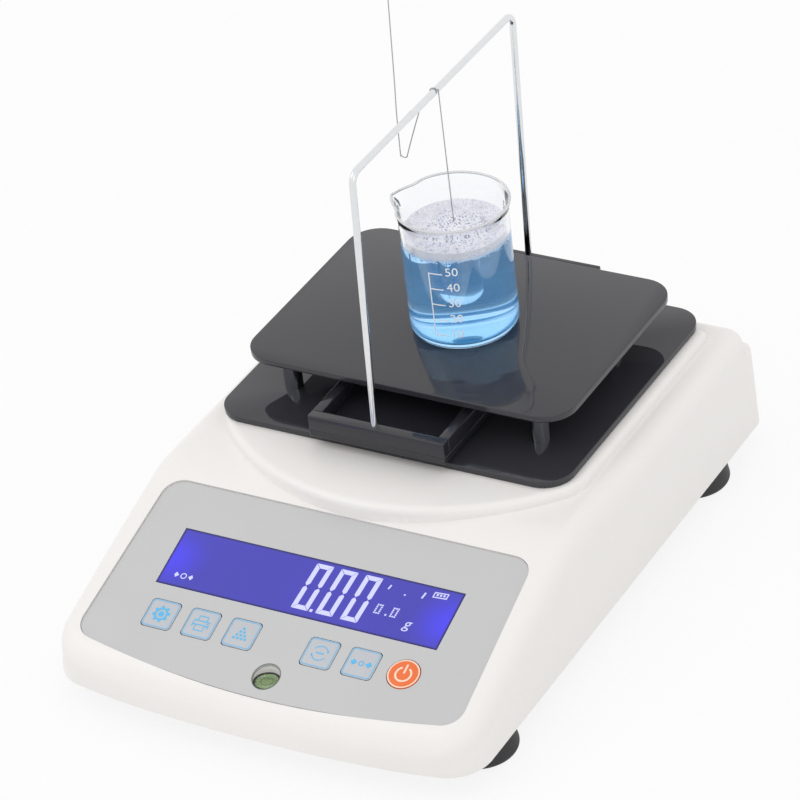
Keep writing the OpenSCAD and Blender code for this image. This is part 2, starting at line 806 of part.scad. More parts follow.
// flat cable from the display board to the main board
module ribbon_cable() {
  w = 16;
  x0 = 28;
  z1 = base_top + 1.5;
  y1 = half_l - 56;
  za = board_z + board_t;
  yb = panel_y + 12 * cs + 9 * sn;
  zb = panel_z + 12 * sn - (lcd_t + backlight_t + board_t) * cs;
  color([0.7, 0.7, 0.72]) union() {
    translate([x0, yb, z1]) cube([w, 0.8, zb - z1 - 1.2]);
    translate([x0, yb, z1]) cube([w, y1 - 6 - yb, 0.8]);
    translate([x0, y1 - 6.8, z1]) cube([w, 0.8, za + 1.2 - z1]);
    translate([x0, y1 - 6.8, za + 0.4]) cube([w, 12, 0.8]);
    translate([x0, y1 + 1.2, za]) cube([w, 4, 4]);
  }
}

module dc_jack() {
  color([0.08, 0.08, 0.09]) translate([jack_x, 0, port_z]) union() {
    difference() {
      union() {
        translate([-5.5, pad_y - 14, -5.4]) cube([11, 14, 10.8]);
        translate([0, pad_y - 1, 0]) rotate([-90, 0, 0]) cylinder(r = 4.1, h = recess_y - pad_y + 1);
      }
      translate([0, pad_y - 9, 0]) rotate([-90, 0, 0]) cylinder(r = 2.8, h = 40);
    }
    translate([0, pad_y - 10, 0]) rotate([-90, 0, 0]) cylinder(r = 1, h = recess_y - pad_y + 8);
  }
}

// nine-pin D-shaped socket
module serial_port() {
  color([0.72, 0.73, 0.75]) translate([port_x, 0, port_z]) difference() {
    union() {
      translate([-15.4, recess_y, -6.2]) cube([30.8, 0.9, 12.4]);
      translate([-9, pad_y - 8, -4.2]) cube([18, recess_y - pad_y + 8 + 4.8, 8.4]);
    }
    difference() {
      translate([-8.5, recess_y - 0.5, -3.7]) cube([17, 10, 7.4]);
      for (i = [-2 : 2]) {
        translate([i * 2.77, recess_y - 1, 1.42]) rotate([-90, 0, 0]) cylinder(r = 0.5, h = 5, $fn = 24);
      }
      for (i = [-1.5 : 1.5]) {
        translate([i * 2.77, recess_y - 1, -1.42]) rotate([-90, 0, 0]) cylinder(r = 0.5, h = 5, $fn = 24);
      }
    }
    for (s = [-1, 1]) {
      translate([s * 12.5, recess_y - 1, 0]) rotate([-90, 0, 0]) cylinder(r = 1.5 + fit_run, h = 5);
    }
  }
}

module serial_posts() {
  color([0.76, 0.77, 0.78]) for (s = [-1, 1]) {
    translate([port_x + s * 12.5, 0, port_z]) difference() {
      union() {
        translate([0, pad_y + 0.5, 0]) rotate([-90, 0, 0]) cylinder(r = 1.5, h = recess_y - pad_y + 1);
        translate([0, recess_y + 0.9, 0]) rotate([-90, 0, 0]) cylinder(r = 2.7, h = 4.4, $fn = 6);
      }
      translate([0, recess_y + 2, 0]) rotate([-90, 0, 0]) cylinder(r = 1.2, h = 5);
    }
  }
}

module round_plate(w, d, r) {
  union() {
    translate([-w / 2, -d / 2 + r]) square([w, d - 2 * r]);
    translate([-w / 2 + r, -d / 2]) square([w - 2 * r, d]);
    for (a = [-1, 1], b = [-1, 1]) {
      translate([a * (w / 2 - r), b * (d / 2 - r)]) circle(r = r);
    }
  }
}

module lower_deck() {
  color([0.06, 0.06, 0.07]) difference() {
    translate([deck_x, deck_cy, deck_z]) linear_extrude(deck_t) round_plate(deck_w, deck_d, deck_r);
    translate([deck_x, deck_cy, deck_z - 1]) cylinder(r = hole_r, h = 10);
    for (s = [-1, 1], y = post_y) {
      translate([deck_x + s * post_x, y, deck_z - 1]) cylinder(r = 1.5 + fit_gap, h = 10);
      translate([deck_x + s * post_x, y, deck_z - 1]) cylinder(r = 2.8 + fit_gap, h = 2.5);
    }
  }
}

module standoffs() {
  color([0.09, 0.09, 0.1]) for (s = [-1, 1], y = post_y) {
    translate([deck_x + s * post_x, y, deck_top]) difference() {
      cylinder(r = post_r, h = deck_gap);
      translate([0, 0, -1]) cylinder(r = 1.5 + fit_run, h = 9);
    }
  }
}

module standoff_screws() {
  color([0.6, 0.6, 0.62]) for (s = [-1, 1], y = post_y) {
    translate([deck_x + s * post_x, y, deck_z + 0.1]) difference() {
      union() {
        cylinder(r = 2.8, h = 1.4);
        cylinder(r = 1.5, h = deck_t + 6);
      }
      translate([-2, -0.4, -1]) cube([4, 0.8, 1.7]);
    }
  }
}

module top_platform() {
  color([0.06, 0.06, 0.07]) translate([deck_x, plat_cy, plat_z]) linear_extrude(deck_t)
    round_plate(top_w, top_d, top_r);
}

module tray_floor() {
  color([0.07, 0.07, 0.08]) difference() {
    translate([deck_x - tray_w / 2, tray_y0, tray_z]) cube([tray_w, tray_d, tray_floor_t]);
    translate([deck_x, deck_cy, tray_z - 1]) cylinder(r = spindle_r + fit_run, h = 10);
  }
}

module tray_side_bars() {
  color([0.07, 0.07, 0.08]) for (s = [0, 1]) {
    translate([deck_x - tray_w / 2 + s * (tray_w - bar_w), tray_y0 + bar_w, tray_in_z])
      cube([bar_w, tray_d - 2 * bar_w, bar_h]);
  }
}

module rod_at(y, z0, z1, r) {
  translate([gan_x, y + (z0 - tray_top) * tl, z0]) rotate([-lean, 0, 0]) cylinder(r = r, h = (z1 - z0) / cos(lean));
}

module tray_end_bars() {
  color([0.07, 0.07, 0.08]) difference() {
    for (s = [0, 1]) {
      translate([deck_x - tray_w / 2, tray_y0 + s * (tray_d - bar_w), tray_in_z]) cube([tray_w, bar_w, bar_h]);
    }
    rod_at(foot_y0, tray_in_z - 5, tray_top + 5, rod_r + fit_run);
    rod_at(foot_y1, tray_in_z - 5, tray_top + 5, rod_r + fit_run);
  }
}

// an arc of round rod in a plane, from angle a to angle b about the origin
module arc(rad, r, a, b) {
  rotate([0, 0, a]) rotate_extrude(angle = b - a) translate([rad, 0]) circle(r = r, $fn = 48);
}

// one stainless rod, bent twice; both legs lean back
module gantry() {
  k0 = bend_r * tan((90 - lean) / 2);
  k1 = bend_r * tan((90 + lean) / 2);
  color([0.8, 0.81, 0.82]) difference() {
    union() {
      rod_at(foot_y0, tray_in_z - 2, bar_z - k0 * cos(lean), rod_r);
      rod_at(foot_y1, tray_in_z - 2, bar_z - k1 * cos(lean), rod_r);
      translate([gan_x, top_y0 + k0, bar_z]) rotate([-90, 0, 0]) cylinder(r = rod_r, h = bar_len - k0 - k1);
      translate([gan_x, top_y0 + k0, bar_z - bend_r]) rotate([90, 0, 90]) arc(bend_r, rod_r, 90, 180 - lean);
      translate([gan_x, top_y1 - k1, bar_z - bend_r]) rotate([90, 0, 90]) arc(bend_r, rod_r, -lean, 90);
      for (q = [[top_y0 - k0 * sin(lean), bar_z - k0 * cos(lean)], [top_y1 - k1 * sin(lean), bar_z - k1 * cos(lean)],
        [top_y0 + k0, bar_z], [top_y1 - k1, bar_z]]) {
        translate([gan_x, q[0], q[1]]) sphere(r = rod_r + 0.02, $fn = 48);
      }
    }
    translate([gan_x - 10, tray_y0 - 20, tray_in_z - 20 + 0.05]) cube([20, tray_d + 40, 20]);
  }
}

eye_r = 1.1;
eye_z = ring_z + ring_r - ring_t - 0.03 + eye_r - wire_r;
bend_c = [-21.9, 162];
wire_path = [
  [gan_x - hook_r, hook_z], [gan_x - hook_r - 0.4, hook_z - 2], [-9.9, 189], [-15.5, 175],
  for (a = [0 : 36 : 180]) bend_c + 1.7 * [cos(a), -sin(a)],
  [-23.1, 180.5], [-22.1, 198.7], [-20.2, 240]
];

// fine steel wire: an eye in the sinker's ring, a hook over the bar, a bend and a long tail
module sinker_wire() {
  n = len(wire_path);
  dz = bar_z - 195;
  color([0.7, 0.7, 0.7]) translate([0, hang_y, 0]) union() {
    translate([strand_x, 0, eye_z]) rotate([90, 0, 90]) arc(eye_r, wire_r, 0, 360);
    translate([strand_x, 0, eye_z + eye_r]) cylinder(r = wire_r, h = hook_z - eye_z - eye_r, $fn = 24);
    translate([gan_x, 0, hook_z]) rotate([90, 0, 0]) arc(hook_r, wire_r, 0, 180);
    for (i = [0 : n - 2]) {
      p = wire_path[i] + [0, i > 1 ? dz : 0];
      q = wire_path[i + 1] + [0, i > 0 ? dz : 0];
      translate([p[0], 0, p[1]]) rotate([0, atan2(q[0] - p[0], q[1] - p[1]), 0])
        cylinder(r = wire_r, h = norm(q - p), $fn = 24);
      translate([q[0], 0, q[1]]) sphere(r = wire_r * 1.12, $fn = 24);
    }
    for (p = [[strand_x, hook_z], [gan_x - hook_r, hook_z]]) {
      translate([p[0], 0, p[1]]) sphere(r = wire_r * 1.12, $fn = 24);
    }
  }
}

module glass_sinker() {
  color([0.85, 0.9, 0.92, 0.5]) translate([strand_x, hang_y, 0]) union() {
    translate([0, 0, sinker_z + sinker_r]) cylinder(r = sinker_r, h = sinker_h - 2 * sinker_r);
    translate([0, 0, sinker_z + sinker_r]) sphere(r = sinker_r, $fn = 64);
    translate([0, 0, sinker_z + sinker_h - sinker_r]) sphere(r = sinker_r, $fn = 64);
    translate([0, 0, ring_z]) rotate([90, 0, 0]) arc(ring_r, ring_t, 0, 360);
  }
}

// outline of the glass body, turned about the beaker's axis
module beaker_profile(r, floor_z, corner) {
  h = beaker_h;
  union() {
    polygon([
      [0, floor_z], [r - corner, floor_z], [r, floor_z + corner],
      [r + 0.2, h - 9], [r + 0.7, h - 4.5], [r + 1.9, h - 1.2], [r + 1.9, h + 1], [0, h + 1]
    ]);
    intersection() {
      translate([r - corner, floor_z + corner]) circle(r = corner);
      translate([0, floor_z]) square([r, corner]);
    }
  }
}

spout_a = 187;

module spout(r1, r2, back) {
  translate([beaker_r - 6 - back, 0, beaker_h - 8]) rotate([0, 52, 0]) cylinder(r1 = r1, r2 = r2, h = 14);
}

module beaker() {
  rim = beaker_h - 0.7;
  color([0.85, 0.92, 0.95, 0.35]) translate([beaker_x, beaker_y, plat_top]) difference() {
    union() {
      rotate_extrude() intersection() {
        beaker_profile(beaker_r, 0, 4);
        square([beaker_r + 5, rim]);
      }
      rotate([0, 0, spout_a]) spout(1.4, 5.2, 0);
    }
    rotate_extrude() beaker_profile(beaker_r - glass_t, 2.4, 3);
    rotate([0, 0, spout_a]) spout(1, 4.8, 1.4);
    translate([-2 * beaker_r, -2 * beaker_r, rim]) cube([4 * beaker_r, 4 * beaker_r, beaker_h]);
  }
}

upper_cover();
base_tray();
cover_screws();
panel_overlay();
lcd_glass();
lcd_backlight();
lcd_frame();
display_board();
display_screws();
key_switches();
key_1();
key_2();
key_3();
key_4();
key_5();
key_power();
level_cup();
level_glass();
level_fluid();
foot_front_left();
foot_front_right();
foot_rear_left();
foot_rear_right();
stud_front_left();
stud_front_right();
stud_rear_left();
stud_rear_right();
foot_inserts();
cell_mount();
load_cell();
cell_screws();
pan_arm();
pan_spindle();
overload_stop();
main_board();
board_screws();
processor();
capacitors();
battery();
battery_strap();
ribbon_cable();
dc_jack();
serial_port();
serial_posts();
lower_deck();
standoffs();
standoff_screws();
top_platform();
tray_floor();
tray_side_bars();
tray_end_bars();
gantry();
sinker_wire();
glass_sinker();
beaker();
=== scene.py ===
# Benchtop density meter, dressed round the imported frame. Lengths are typed in millimetres and put in as metres.
import json
import math
import bmesh
import bpy
import numpy as np
from mathutils import Matrix, Vector


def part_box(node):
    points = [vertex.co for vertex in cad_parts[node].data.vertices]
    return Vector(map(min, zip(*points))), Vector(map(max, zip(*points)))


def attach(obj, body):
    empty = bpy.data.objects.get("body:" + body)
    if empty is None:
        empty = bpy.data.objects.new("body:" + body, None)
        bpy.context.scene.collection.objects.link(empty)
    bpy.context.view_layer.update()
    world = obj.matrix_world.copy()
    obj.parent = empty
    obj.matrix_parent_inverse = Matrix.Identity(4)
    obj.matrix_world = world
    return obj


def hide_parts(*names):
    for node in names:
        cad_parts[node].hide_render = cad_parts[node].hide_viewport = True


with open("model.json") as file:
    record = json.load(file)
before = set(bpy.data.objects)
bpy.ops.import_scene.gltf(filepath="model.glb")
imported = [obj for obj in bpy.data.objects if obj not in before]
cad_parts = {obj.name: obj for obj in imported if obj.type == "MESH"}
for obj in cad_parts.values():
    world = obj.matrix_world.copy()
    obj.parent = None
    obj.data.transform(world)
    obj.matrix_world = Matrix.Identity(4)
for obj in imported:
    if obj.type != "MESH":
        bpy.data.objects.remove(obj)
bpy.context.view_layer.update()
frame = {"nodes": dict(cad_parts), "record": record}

mm = 0.001
sharpFrom = 35  # edges that turn by more degrees than this are shown sharp

# the view
viewpoint = {
    "azimuth": 32.808, "elevation": 33.354, "roll": -7.366,  # degrees
    "distance": 1840.6, "target": (-15.2, 26.9, 64.0),
    "lens": 196.84, "shiftX": 0.00155, "shiftY": 0.00183,
}


def inScene(name, data):
    thing = bpy.data.objects.new(name, data)
    bpy.context.scene.collection.objects.link(thing)
    return thing


def aimCamera(v):
    # the camera stands back from the target along its own axis, and is then rolled about that axis
    a, e, r = (math.radians(v[k]) for k in ("azimuth", "elevation", "roll"))
    back = np.array([math.sin(a) * math.cos(e), -math.cos(a) * math.cos(e), math.sin(e)])
    level = np.array([math.cos(a), math.sin(a), 0])
    upward = np.cross(back, level)
    across = math.cos(r) * level + math.sin(r) * upward
    up = math.cos(r) * upward - math.sin(r) * level
    place = (np.array(v["target"]) + back * v["distance"]) * mm
    camera = inScene("camera", bpy.data.cameras.new("camera"))
    camera.matrix_world = Matrix([*np.stack([across, up, back, place], -1), (0, 0, 0, 1)])
    camera.data.lens = v["lens"]
    camera.data.shift_x = v["shiftX"]
    camera.data.shift_y = v["shiftY"]
    camera.data.clip_end = 20
    bpy.context.scene.camera = camera


aimCamera(viewpoint)

# shapes as arrays


def gridFaces(rows, cols, closeRows=False):
    # one four-cornered face for each cell of the grid, whose last column joins its first
    i = np.arange(rows if closeRows else rows - 1)[:, None]
    j = np.arange(cols)[None, :]
    below, beside = (i + 1) % rows, (j + 1) % cols
    cells = np.broadcast_arrays(i * cols + j, i * cols + beside, below * cols + beside, below * cols + j)
    return np.stack(cells, -1).reshape(-1, 4).tolist()


def loft(rings):
    # rings of equal length joined in order, with the first and last closed by one flat face each
    rows, cols = rings.shape[:2]
    faces = gridFaces(rows, cols)
    faces.append(list(range(cols))[::-1])
    faces.append(list(range((rows - 1) * cols, rows * cols)))
    return rings.reshape(-1, 3), faces


def torusOf(rings):
    # rings joined in order, and the last to the first
    rows, cols = rings.shape[:2]
    return rings.reshape(-1, 3), gridFaces(rows, cols, closeRows=True)


def joined(shapes):
    # several shapes as one: the corner numbers of each are moved up past those before it
    points, faces, start = [], [], 0
    for p, f in shapes:
        points.append(p)
        faces += [[c + start for c in face] for face in f]
        start += len(p)
    return np.concatenate(points), faces


def roundedLoop(width, depth, radius, steps=10):
    # a rectangle with round corners: each corner's centre plus the radius times (cos, sin) over a quarter turn
    turn = np.linspace(0, math.pi / 2, steps)
    angle = np.arange(4)[:, None] * math.pi / 2 + turn[None]
    centre = np.array([(1, 1), (-1, 1), (-1, -1), (1, -1)]) * (np.array([width, depth]) / 2 - radius)
    return (centre[:, None] + radius * np.stack([np.cos(angle), np.sin(angle)], -1)).reshape(-1, 2)


def circleLoop(radius, count=64):
    angle = np.linspace(0, 2 * math.pi, count, endpoint=False)
    return radius * np.stack([np.cos(angle), np.sin(angle)], -1)


def softEdge(low, high, edge, steps=4):
    # inset and height of each ring: a quarter round below, the wall, and a quarter round above
    t = np.linspace(0, math.pi / 2, steps)
    inset = np.concatenate([edge * (1 - np.sin(t)), edge * (1 - np.cos(t))])
    height = np.concatenate([low + edge * (1 - np.cos(t)), high - edge * (1 - np.sin(t))])
    return inset, height


def ringsAt(loops, heights, centre=(0, 0)):
    # flat loops lifted to their heights
    z = np.broadcast_to(np.asarray(heights, float)[:, None, None], loops.shape[:2] + (1,))
    return np.concatenate([loops + np.asarray(centre, float), z], -1)


def plate(width, depth, radius, low, high, edge, centre):
    inset, height = softEdge(low, high, edge)
    loops = np.array([roundedLoop(width - 2 * s, depth - 2 * s, max(radius - s, 0.02)) for s in inset])
    return loft(ringsAt(loops, height, centre))


def turned(radii, heights, centre=(0, 0), count=96):
    # a profile of radii and heights carried once round a standing axis
    loops = np.asarray(radii, float)[:, None, None] * circleLoop(1, count)[None]
    return loft(ringsAt(loops, heights, centre))


def tube(path, radius, sides, flat, ringClosed=False):
    # circles across a path that lies in one plane: radius times (cos along the plane's normal, sin across it)
    path = np.asarray(path, float)
    if ringClosed:
        along = np.roll(path, -1, 0) - np.roll(path, 1, 0)
    else:
        along = np.gradient(path, axis=0)
    along /= np.linalg.norm(along, axis=1, keepdims=True)
    flat = np.asarray(flat, float)
    side = np.cross(along, flat)
    a = np.linspace(0, 2 * math.pi, sides, endpoint=False)[None, :, None]
    rings = path[:, None] + radius * (np.cos(a) * flat + np.sin(a) * side[:, None])
    return torusOf(rings) if ringClosed else loft(rings)


def reworked(mesh, *steps):
    # the steps done in turn on the mesh's corners and faces
    work = bmesh.new()
    work.from_mesh(mesh)
    for step in steps:
        step(work)
    work.to_mesh(mesh)
    work.free()


def facedOut(work):
    # a shape drawn inside out has a negative volume
    if work.calc_volume(signed=True) < 0:
        bmesh.ops.reverse_faces(work, faces=work.faces[:])


def merged(reach):
    return lambda work: bmesh.ops.remove_doubles(work, verts=work.verts[:], dist=reach)


def flattened(degrees):
    return lambda work: bmesh.ops.dissolve_limit(work, angle_limit=math.radians(degrees), verts=work.verts[:],
                                                 edges=work.edges[:])


def meshOf(name, points, faces):
    # a mesh from corners in millimetres
    mesh = bpy.data.meshes.new(name)
    mesh.from_pydata((np.asarray(points, float) * mm).tolist(), [], faces)
    return mesh


def addPiece(name, mesh, body, look, replaces=(), angle=sharpFrom):
    # the look is a material, or the name of a slot, whose finish it then wears
    named = isinstance(look, str)
    mesh.shade_smooth()
    mesh.set_sharp_from_angle(angle=math.radians(angle))
    mesh.materials.clear()
    mesh.materials.append(finishes[look] if named else look)
    piece = inScene(name, mesh)
    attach(piece, body)
    if replaces:
        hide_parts(*replaces)
    return piece


def makePiece(name, shape, body, look, replaces=(), angle=sharpFrom):
    mesh = meshOf(name, *shape)
    reworked(mesh, facedOut)
    addPiece(name, mesh, body, look, replaces, angle)


def mergedCopy(node, name, *steps):
    # a CAD node's mesh is left alone: its copy loses the doubled corners and the normals set by hand
    mesh = frame["nodes"][node].data.copy()
    mesh.name = name
    if mesh.has_custom_normals:
        mesh.attributes.remove(mesh.attributes["custom_normal"])
    reworked(mesh, merged(2e-6), *steps)
    return mesh


def softened(name, node, body, look, width):
    # a merged copy of a CAD node with a small bevel on its corners
    piece = addPiece(name, mergedCopy(node, name, flattened(0.4)), body, look, (node,))
    bevel = piece.modifiers.new("edge", "BEVEL")
    bevel.width = width * mm
    bevel.segments = 2
    bevel.limit_method = "ANGLE"
    bevel.angle_limit = math.radians(sharpFrom)
    bevel.harden_normals = False


# shader groups shared by the materials


def feed(tree, node, inputs):
    # each input is linked where a socket is given for it, and set where a value is
    for key, value in inputs.items():
        if isinstance(value, bpy.types.NodeSocket):
            tree.links.new(value, node.inputs[key])
        else:
            node.inputs[key].default_value = value


def wire(tree, kind, inputs=None, output=0, **settings):
    # a new node with its settings and inputs, of which one output is handed back
    node = tree.nodes.new("ShaderNode" + kind)
    for key, value in settings.items():
        setattr(node, key, value)
    feed(tree, node, inputs or {})
    return node.outputs[output]


def placed(tree):
    return wire(tree, "TexCoord", output="Object")


def noise(tree, place, scale, detail, **more):
    return wire(tree, "TexNoise", {"Vector": place, "Scale": scale, "Detail": detail, **more})


def cellsOf(tree, place, scale, spread=1.0):
    # the distance from the middle of the nearest cell
    return wire(tree, "TexVoronoi", {"Vector": place, "Scale": scale, "Randomness": spread}, feature="F1")


def ranged(tree, value, low, high, start=0.0, end=1.0, way="LINEAR"):
    # low to high carried onto start to end
    limits = {"From Min": low, "From Max": high, "To Min": start, "To Max": end}
    return wire(tree, "MapRange", {"Value": value, **limits}, interpolation_type=way)


def worked(tree, operation, a, b=0.0):
    return wire(tree, "Math", {0: a, 1: b}, operation=operation)


def blended(tree, share, a, b):
    # colour a where the share is 0, b where it is 1
    return wire(tree, "Mix", {0: share, 6: a, 7: b}, 2, data_type="RGBA")


def scaled(tree, rgb, share):
    return wire(tree, "VectorMath", {0: rgb, "Scale": share}, operation="SCALE")


def distanceTo(tree, place, point):
    return wire(tree, "VectorMath", {0: place, 1: point}, "Value", operation="DISTANCE")


def bumped(tree, height, strength, distance, **settings):
    return wire(tree, "Bump", {"Height": height, "Strength": strength, "Distance": distance}, **settings)


def toned(tree, rgb, cloud, amount):
    # the colour darkened by the amount where the noise is low
    return scaled(tree, rgb, ranged(tree, cloud, 0.3, 0.7, worked(tree, "SUBTRACT", 1.0, amount)))


def grainParts(group, put):
    # moulded surfaces: fine pimples in the bump, and slow clouds in colour and roughness
    place = placed(group)
    cloud = noise(group, place, 25, 4)
    return (toned(group, put["Color"], cloud, put["Cloud Amount"]),
            ranged(group, cloud, 0.3, 0.7, put["Rough Low"], put["Rough High"]),
            bumped(group, noise(group, place, put["Grain Scale"], 3), put["Grain Depth"], 0.0002))


def handlingParts(group, put):
    # polished surfaces: faint wiping streaks in the roughness, and a few dust specks
    place = placed(group)
    drawn = wire(group, "Mapping", {"Vector": place, "Rotation": (0, 0, 0.6), "Scale": (18, 160, 60)})
    streak = noise(group, drawn, 1.0, 5, Roughness=0.6)
    speck = ranged(group, cellsOf(group, place, 900), 0.05, 0.12, 1, 0)
    where = ranged(group, noise(group, place, 220, 2), 0.6, 0.7)
    dusty = worked(group, "MULTIPLY", worked(group, "MULTIPLY", speck, where), put["Dust Amount"])
    return (blended(group, dusty, put["Color"], put["Dust Color"]),
            ranged(group, streak, 0.35, 0.7, put["Rough Low"], put["Rough High"]),
            bumped(group, streak, put["Streak Depth"], 0.0001))


def machinedParts(group, put):
    # cut metal: fine lines along one direction, in roughness, bump and a little in colour
    drawn = wire(group, "VectorMath", {0: placed(group), 1: put["Stretch"]}, operation="MULTIPLY")
    lines = noise(group, drawn, 1.0, 4)
    return (toned(group, put["Color"], lines, put["Tone"]),
            ranged(group, lines, 0.3, 0.7, put["Rough Low"], put["Rough High"]),
            bumped(group, lines, put["Line Depth"], 0.00005))


def makeGroup(name, build, colours, vectors, numbers):
    # the labels of its inputs by kind; it puts out the colour, roughness and normal that its parts make
    group = bpy.data.node_groups.new(name, "ShaderNodeTree")
    for kind, labels in (("Color", colours), ("Vector", vectors),
                         ("Float", numbers + ("Rough Low", "Rough High"))):
        for label in labels:
            group.interface.new_socket(label, in_out="INPUT", socket_type="NodeSocket" + kind)
    for label, kind in (("Color", "Color"), ("Roughness", "Float"), ("Normal", "Vector")):
        group.interface.new_socket(label, in_out="OUTPUT", socket_type="NodeSocket" + kind)
    entry, leave = group.nodes.new("NodeGroupInput"), group.nodes.new("NodeGroupOutput")
    for label, made in zip(("Color", "Roughness", "Normal"), build(group, entry.outputs)):
        group.links.new(made, leave.inputs[label])
    return group


groups = {
    "grain": makeGroup("surfaceGrain", grainParts, ("Color",), (),
                       ("Grain Scale", "Grain Depth", "Cloud Amount")),
    "handling": makeGroup("handlingMarks", handlingParts, ("Color", "Dust Color"), (),
                          ("Dust Amount", "Streak Depth")),
    "machined": makeGroup("machinedLines", machinedParts, ("Color",), ("Stretch",), ("Line Depth", "Tone")),
}


def colour(rgb):
    return (*rgb, 1.0)


def glowing(rgb, strength):
    return {"Emission Color": colour(rgb), "Emission Strength": strength}


def startMaterial(name):
    material = bpy.data.materials.new(name)
    material.use_nodes = True
    return material, material.node_tree, material.node_tree.nodes["Principled BSDF"]


def dressed(name, kind, rgb, inputs, **more):
    # a material whose colour, roughness and normal come from one of the shared groups
    material, tree, shader = startMaterial(name)
    group = tree.nodes.new("ShaderNodeGroup")
    group.node_tree = groups[kind]
    feed(tree, group, {"Color": colour(rgb), **inputs})
    made = group.outputs
    feed(tree, shader, {"Base Color": made["Color"], "Roughness": made["Roughness"],
         "Normal": made["Normal"], **more})
    return material


def grained(name, rgb, low, high, scale=2500, depth=0.1, cloud=0.03, **more):
    return dressed(name, "grain", rgb, {"Rough Low": low, "Rough High": high, "Grain Scale": scale,
                   "Grain Depth": depth, "Cloud Amount": cloud}, **more)


def polished(name, rgb, low, high, dust=0.12, streak=0.02, **more):
    return dressed(name, "handling", rgb, {"Rough Low": low, "Rough High": high, "Dust Amount": dust,
                   "Streak Depth": streak, "Dust Color": (0.45, 0.45, 0.47, 1)}, **more)


def machined(name, rgb, stretch, low, high, depth=0.1, tone=0.1):
    return dressed(name, "machined", rgb, {"Stretch": stretch, "Rough Low": low, "Rough High": high,
                   "Line Depth": depth, "Tone": tone}, Metallic=1.0)


panelAt = {"y": -92.7, "z": 39.5, "slope": 18.34}  # the panel frame's origin and lean
# the display's dark colour is the painted shade along its edge
display = {"width": 131.0, "height": 28.0, "middle": -1.1, "mid": (0.048, 0.043, 0.47),
           "glow": (0.060, 0.045, 0.93), "dark": (0.016, 0.012, 0.16), "ink": (0.66, 0.68, 1.0),
           "lamp": (1.0, -0.02, 0.0), "lampReach": 0.30}


def makeDisplayMaterial(s):
    # a lit blue field, from -1 to 1 both ways: a lamp's glow at each end, slow clouds,
    # and a painted shade along the edge all round, standing in for the shadow of the window's rim
    material, tree, shader = startMaterial("lcdBlue")
    lean, half = math.radians(panelAt["slope"]), s["height"] / 2
    middle = np.array([s["middle"], panelAt["y"] + half * math.cos(lean),
                       panelAt["z"] + half * math.sin(lean)]) * mm
    place = placed(tree)
    flat = wire(tree, "Mapping", {"Vector": place, "Location": tuple(middle), "Rotation": (lean, 0, 0),
                "Scale": (s["width"] / 2 * mm, half * mm, 1)}, vector_type="TEXTURE")
    u, v = wire(tree, "SeparateXYZ", {0: flat}).node.outputs[:2]
    across, upright = worked(tree, "ABSOLUTE", u), worked(tree, "ABSOLUTE", v)
    ends = wire(tree, "CombineXYZ", {"X": across, "Y": worked(tree, "MULTIPLY", v, 0.24)})
    glow = ranged(tree, distanceTo(tree, ends, s["lamp"]), 0.0, s["lampReach"], 1.0, 0.0, "SMOOTHSTEP")
    # painted shade: the field is darkened along its edge all round, where the window's rim would shade it
    edge = worked(tree, "MAXIMUM", ranged(tree, across, 0.984, 0.999, way="SMOOTHSTEP"),
                  ranged(tree, upright, 0.93, 0.99, way="SMOOTHSTEP"))
    field = blended(tree, glow, colour(s["mid"]), colour(s["glow"]))
    clouded = scaled(tree, field, ranged(tree, noise(tree, place, 26, 2), 0.3, 0.7, 0.94, 1.04))
    feed(tree, shader, {"Emission Color": blended(tree, edge, clouded, colour(s["dark"])),
         "Emission Strength": 0.93, "Base Color": (0.01, 0.01, 0.03, 1), "Roughness": 0.16})
    return material


def makeGlassMaterial(name, rgb, ior, rough=0.0, absorb=None, density=0.0, **more):
    material, tree, shader = startMaterial(name)
    feed(tree, shader, {"Base Color": colour(rgb), "Roughness": rough, "IOR": ior,
         "Transmission Weight": 1.0, **more})
    if absorb:
        volume = wire(tree, "VolumeAbsorption", {"Color": colour(absorb), "Density": density})
        feed(tree, tree.nodes["Material Output"], {"Volume": volume})
    return material


foamLook = {"middle": (0.0035, 0.0585, 0.1335), "pale": (0.90, 0.90, 0.97, 1), "gap": (0.10, 0.13, 0.27, 1)}


def makeFoamMaterial(s):
    # packed bubbles: pale cells with grey-blue gaps, darkest round the middle, and a bump that rounds each cell;
    # a faint painted glow brightens the whole foam as if more light fell on it
    material, tree, shader = startMaterial("foamWhite")
    place = placed(tree)
    cells = cellsOf(tree, place, 820, 0.9)
    dark = ranged(tree, cells, 0.42, 0.22, way="SMOOTHSTEP")
    inner = ranged(tree, distanceTo(tree, place, s["middle"]), 0.021, 0.007)
    where = ranged(tree, worked(tree, "ADD", inner, noise(tree, place, 90, 3)), 0.55, 1.25, 0.0, 0.9)
    both = worked(tree, "ADD", cells, cellsOf(tree, place, 1700))
    # painted light: the foam glows faintly, brightening it beyond what the lamps give
    feed(tree, shader, {"Base Color": blended(tree, worked(tree, "MULTIPLY", dark, where), s["pale"], s["gap"]),
         "Normal": bumped(tree, both, 0.7, 0.0006, invert=True), **glowing((0.82, 0.82, 0.95), 0.16),
         "Roughness": 0.28, "Subsurface Weight": 0.25, "Subsurface Radius": (0.0012, 0.0014, 0.002)})
    return material


def makeBoardMaterial():
    # solder mask over copper: square-cornered tracks and small pads
    material, tree, shader = startMaterial("boardGreen")
    place = placed(tree)
    greens = {"Color1": (0.010, 0.115, 0.055, 1), "Color2": (0.012, 0.135, 0.062, 1),
              "Mortar": (0.03, 0.21, 0.09, 1)}
    gaps = {"Mortar Size": 0.06, "Mortar Smooth": 0.0}
    tracks = wire(tree, "TexBrick", {"Vector": place, "Scale": 260, **gaps, **greens})
    pad = ranged(tree, cellsOf(tree, place, 420, 0.35), 0.16, 0.20, 1.0, 0.0)
    tint = blended(tree, pad, tracks, (0.55, 0.55, 0.52, 1))
    feed(tree, shader, {"Base Color": tint, "Metallic": pad, "Roughness": 0.35})
    return material


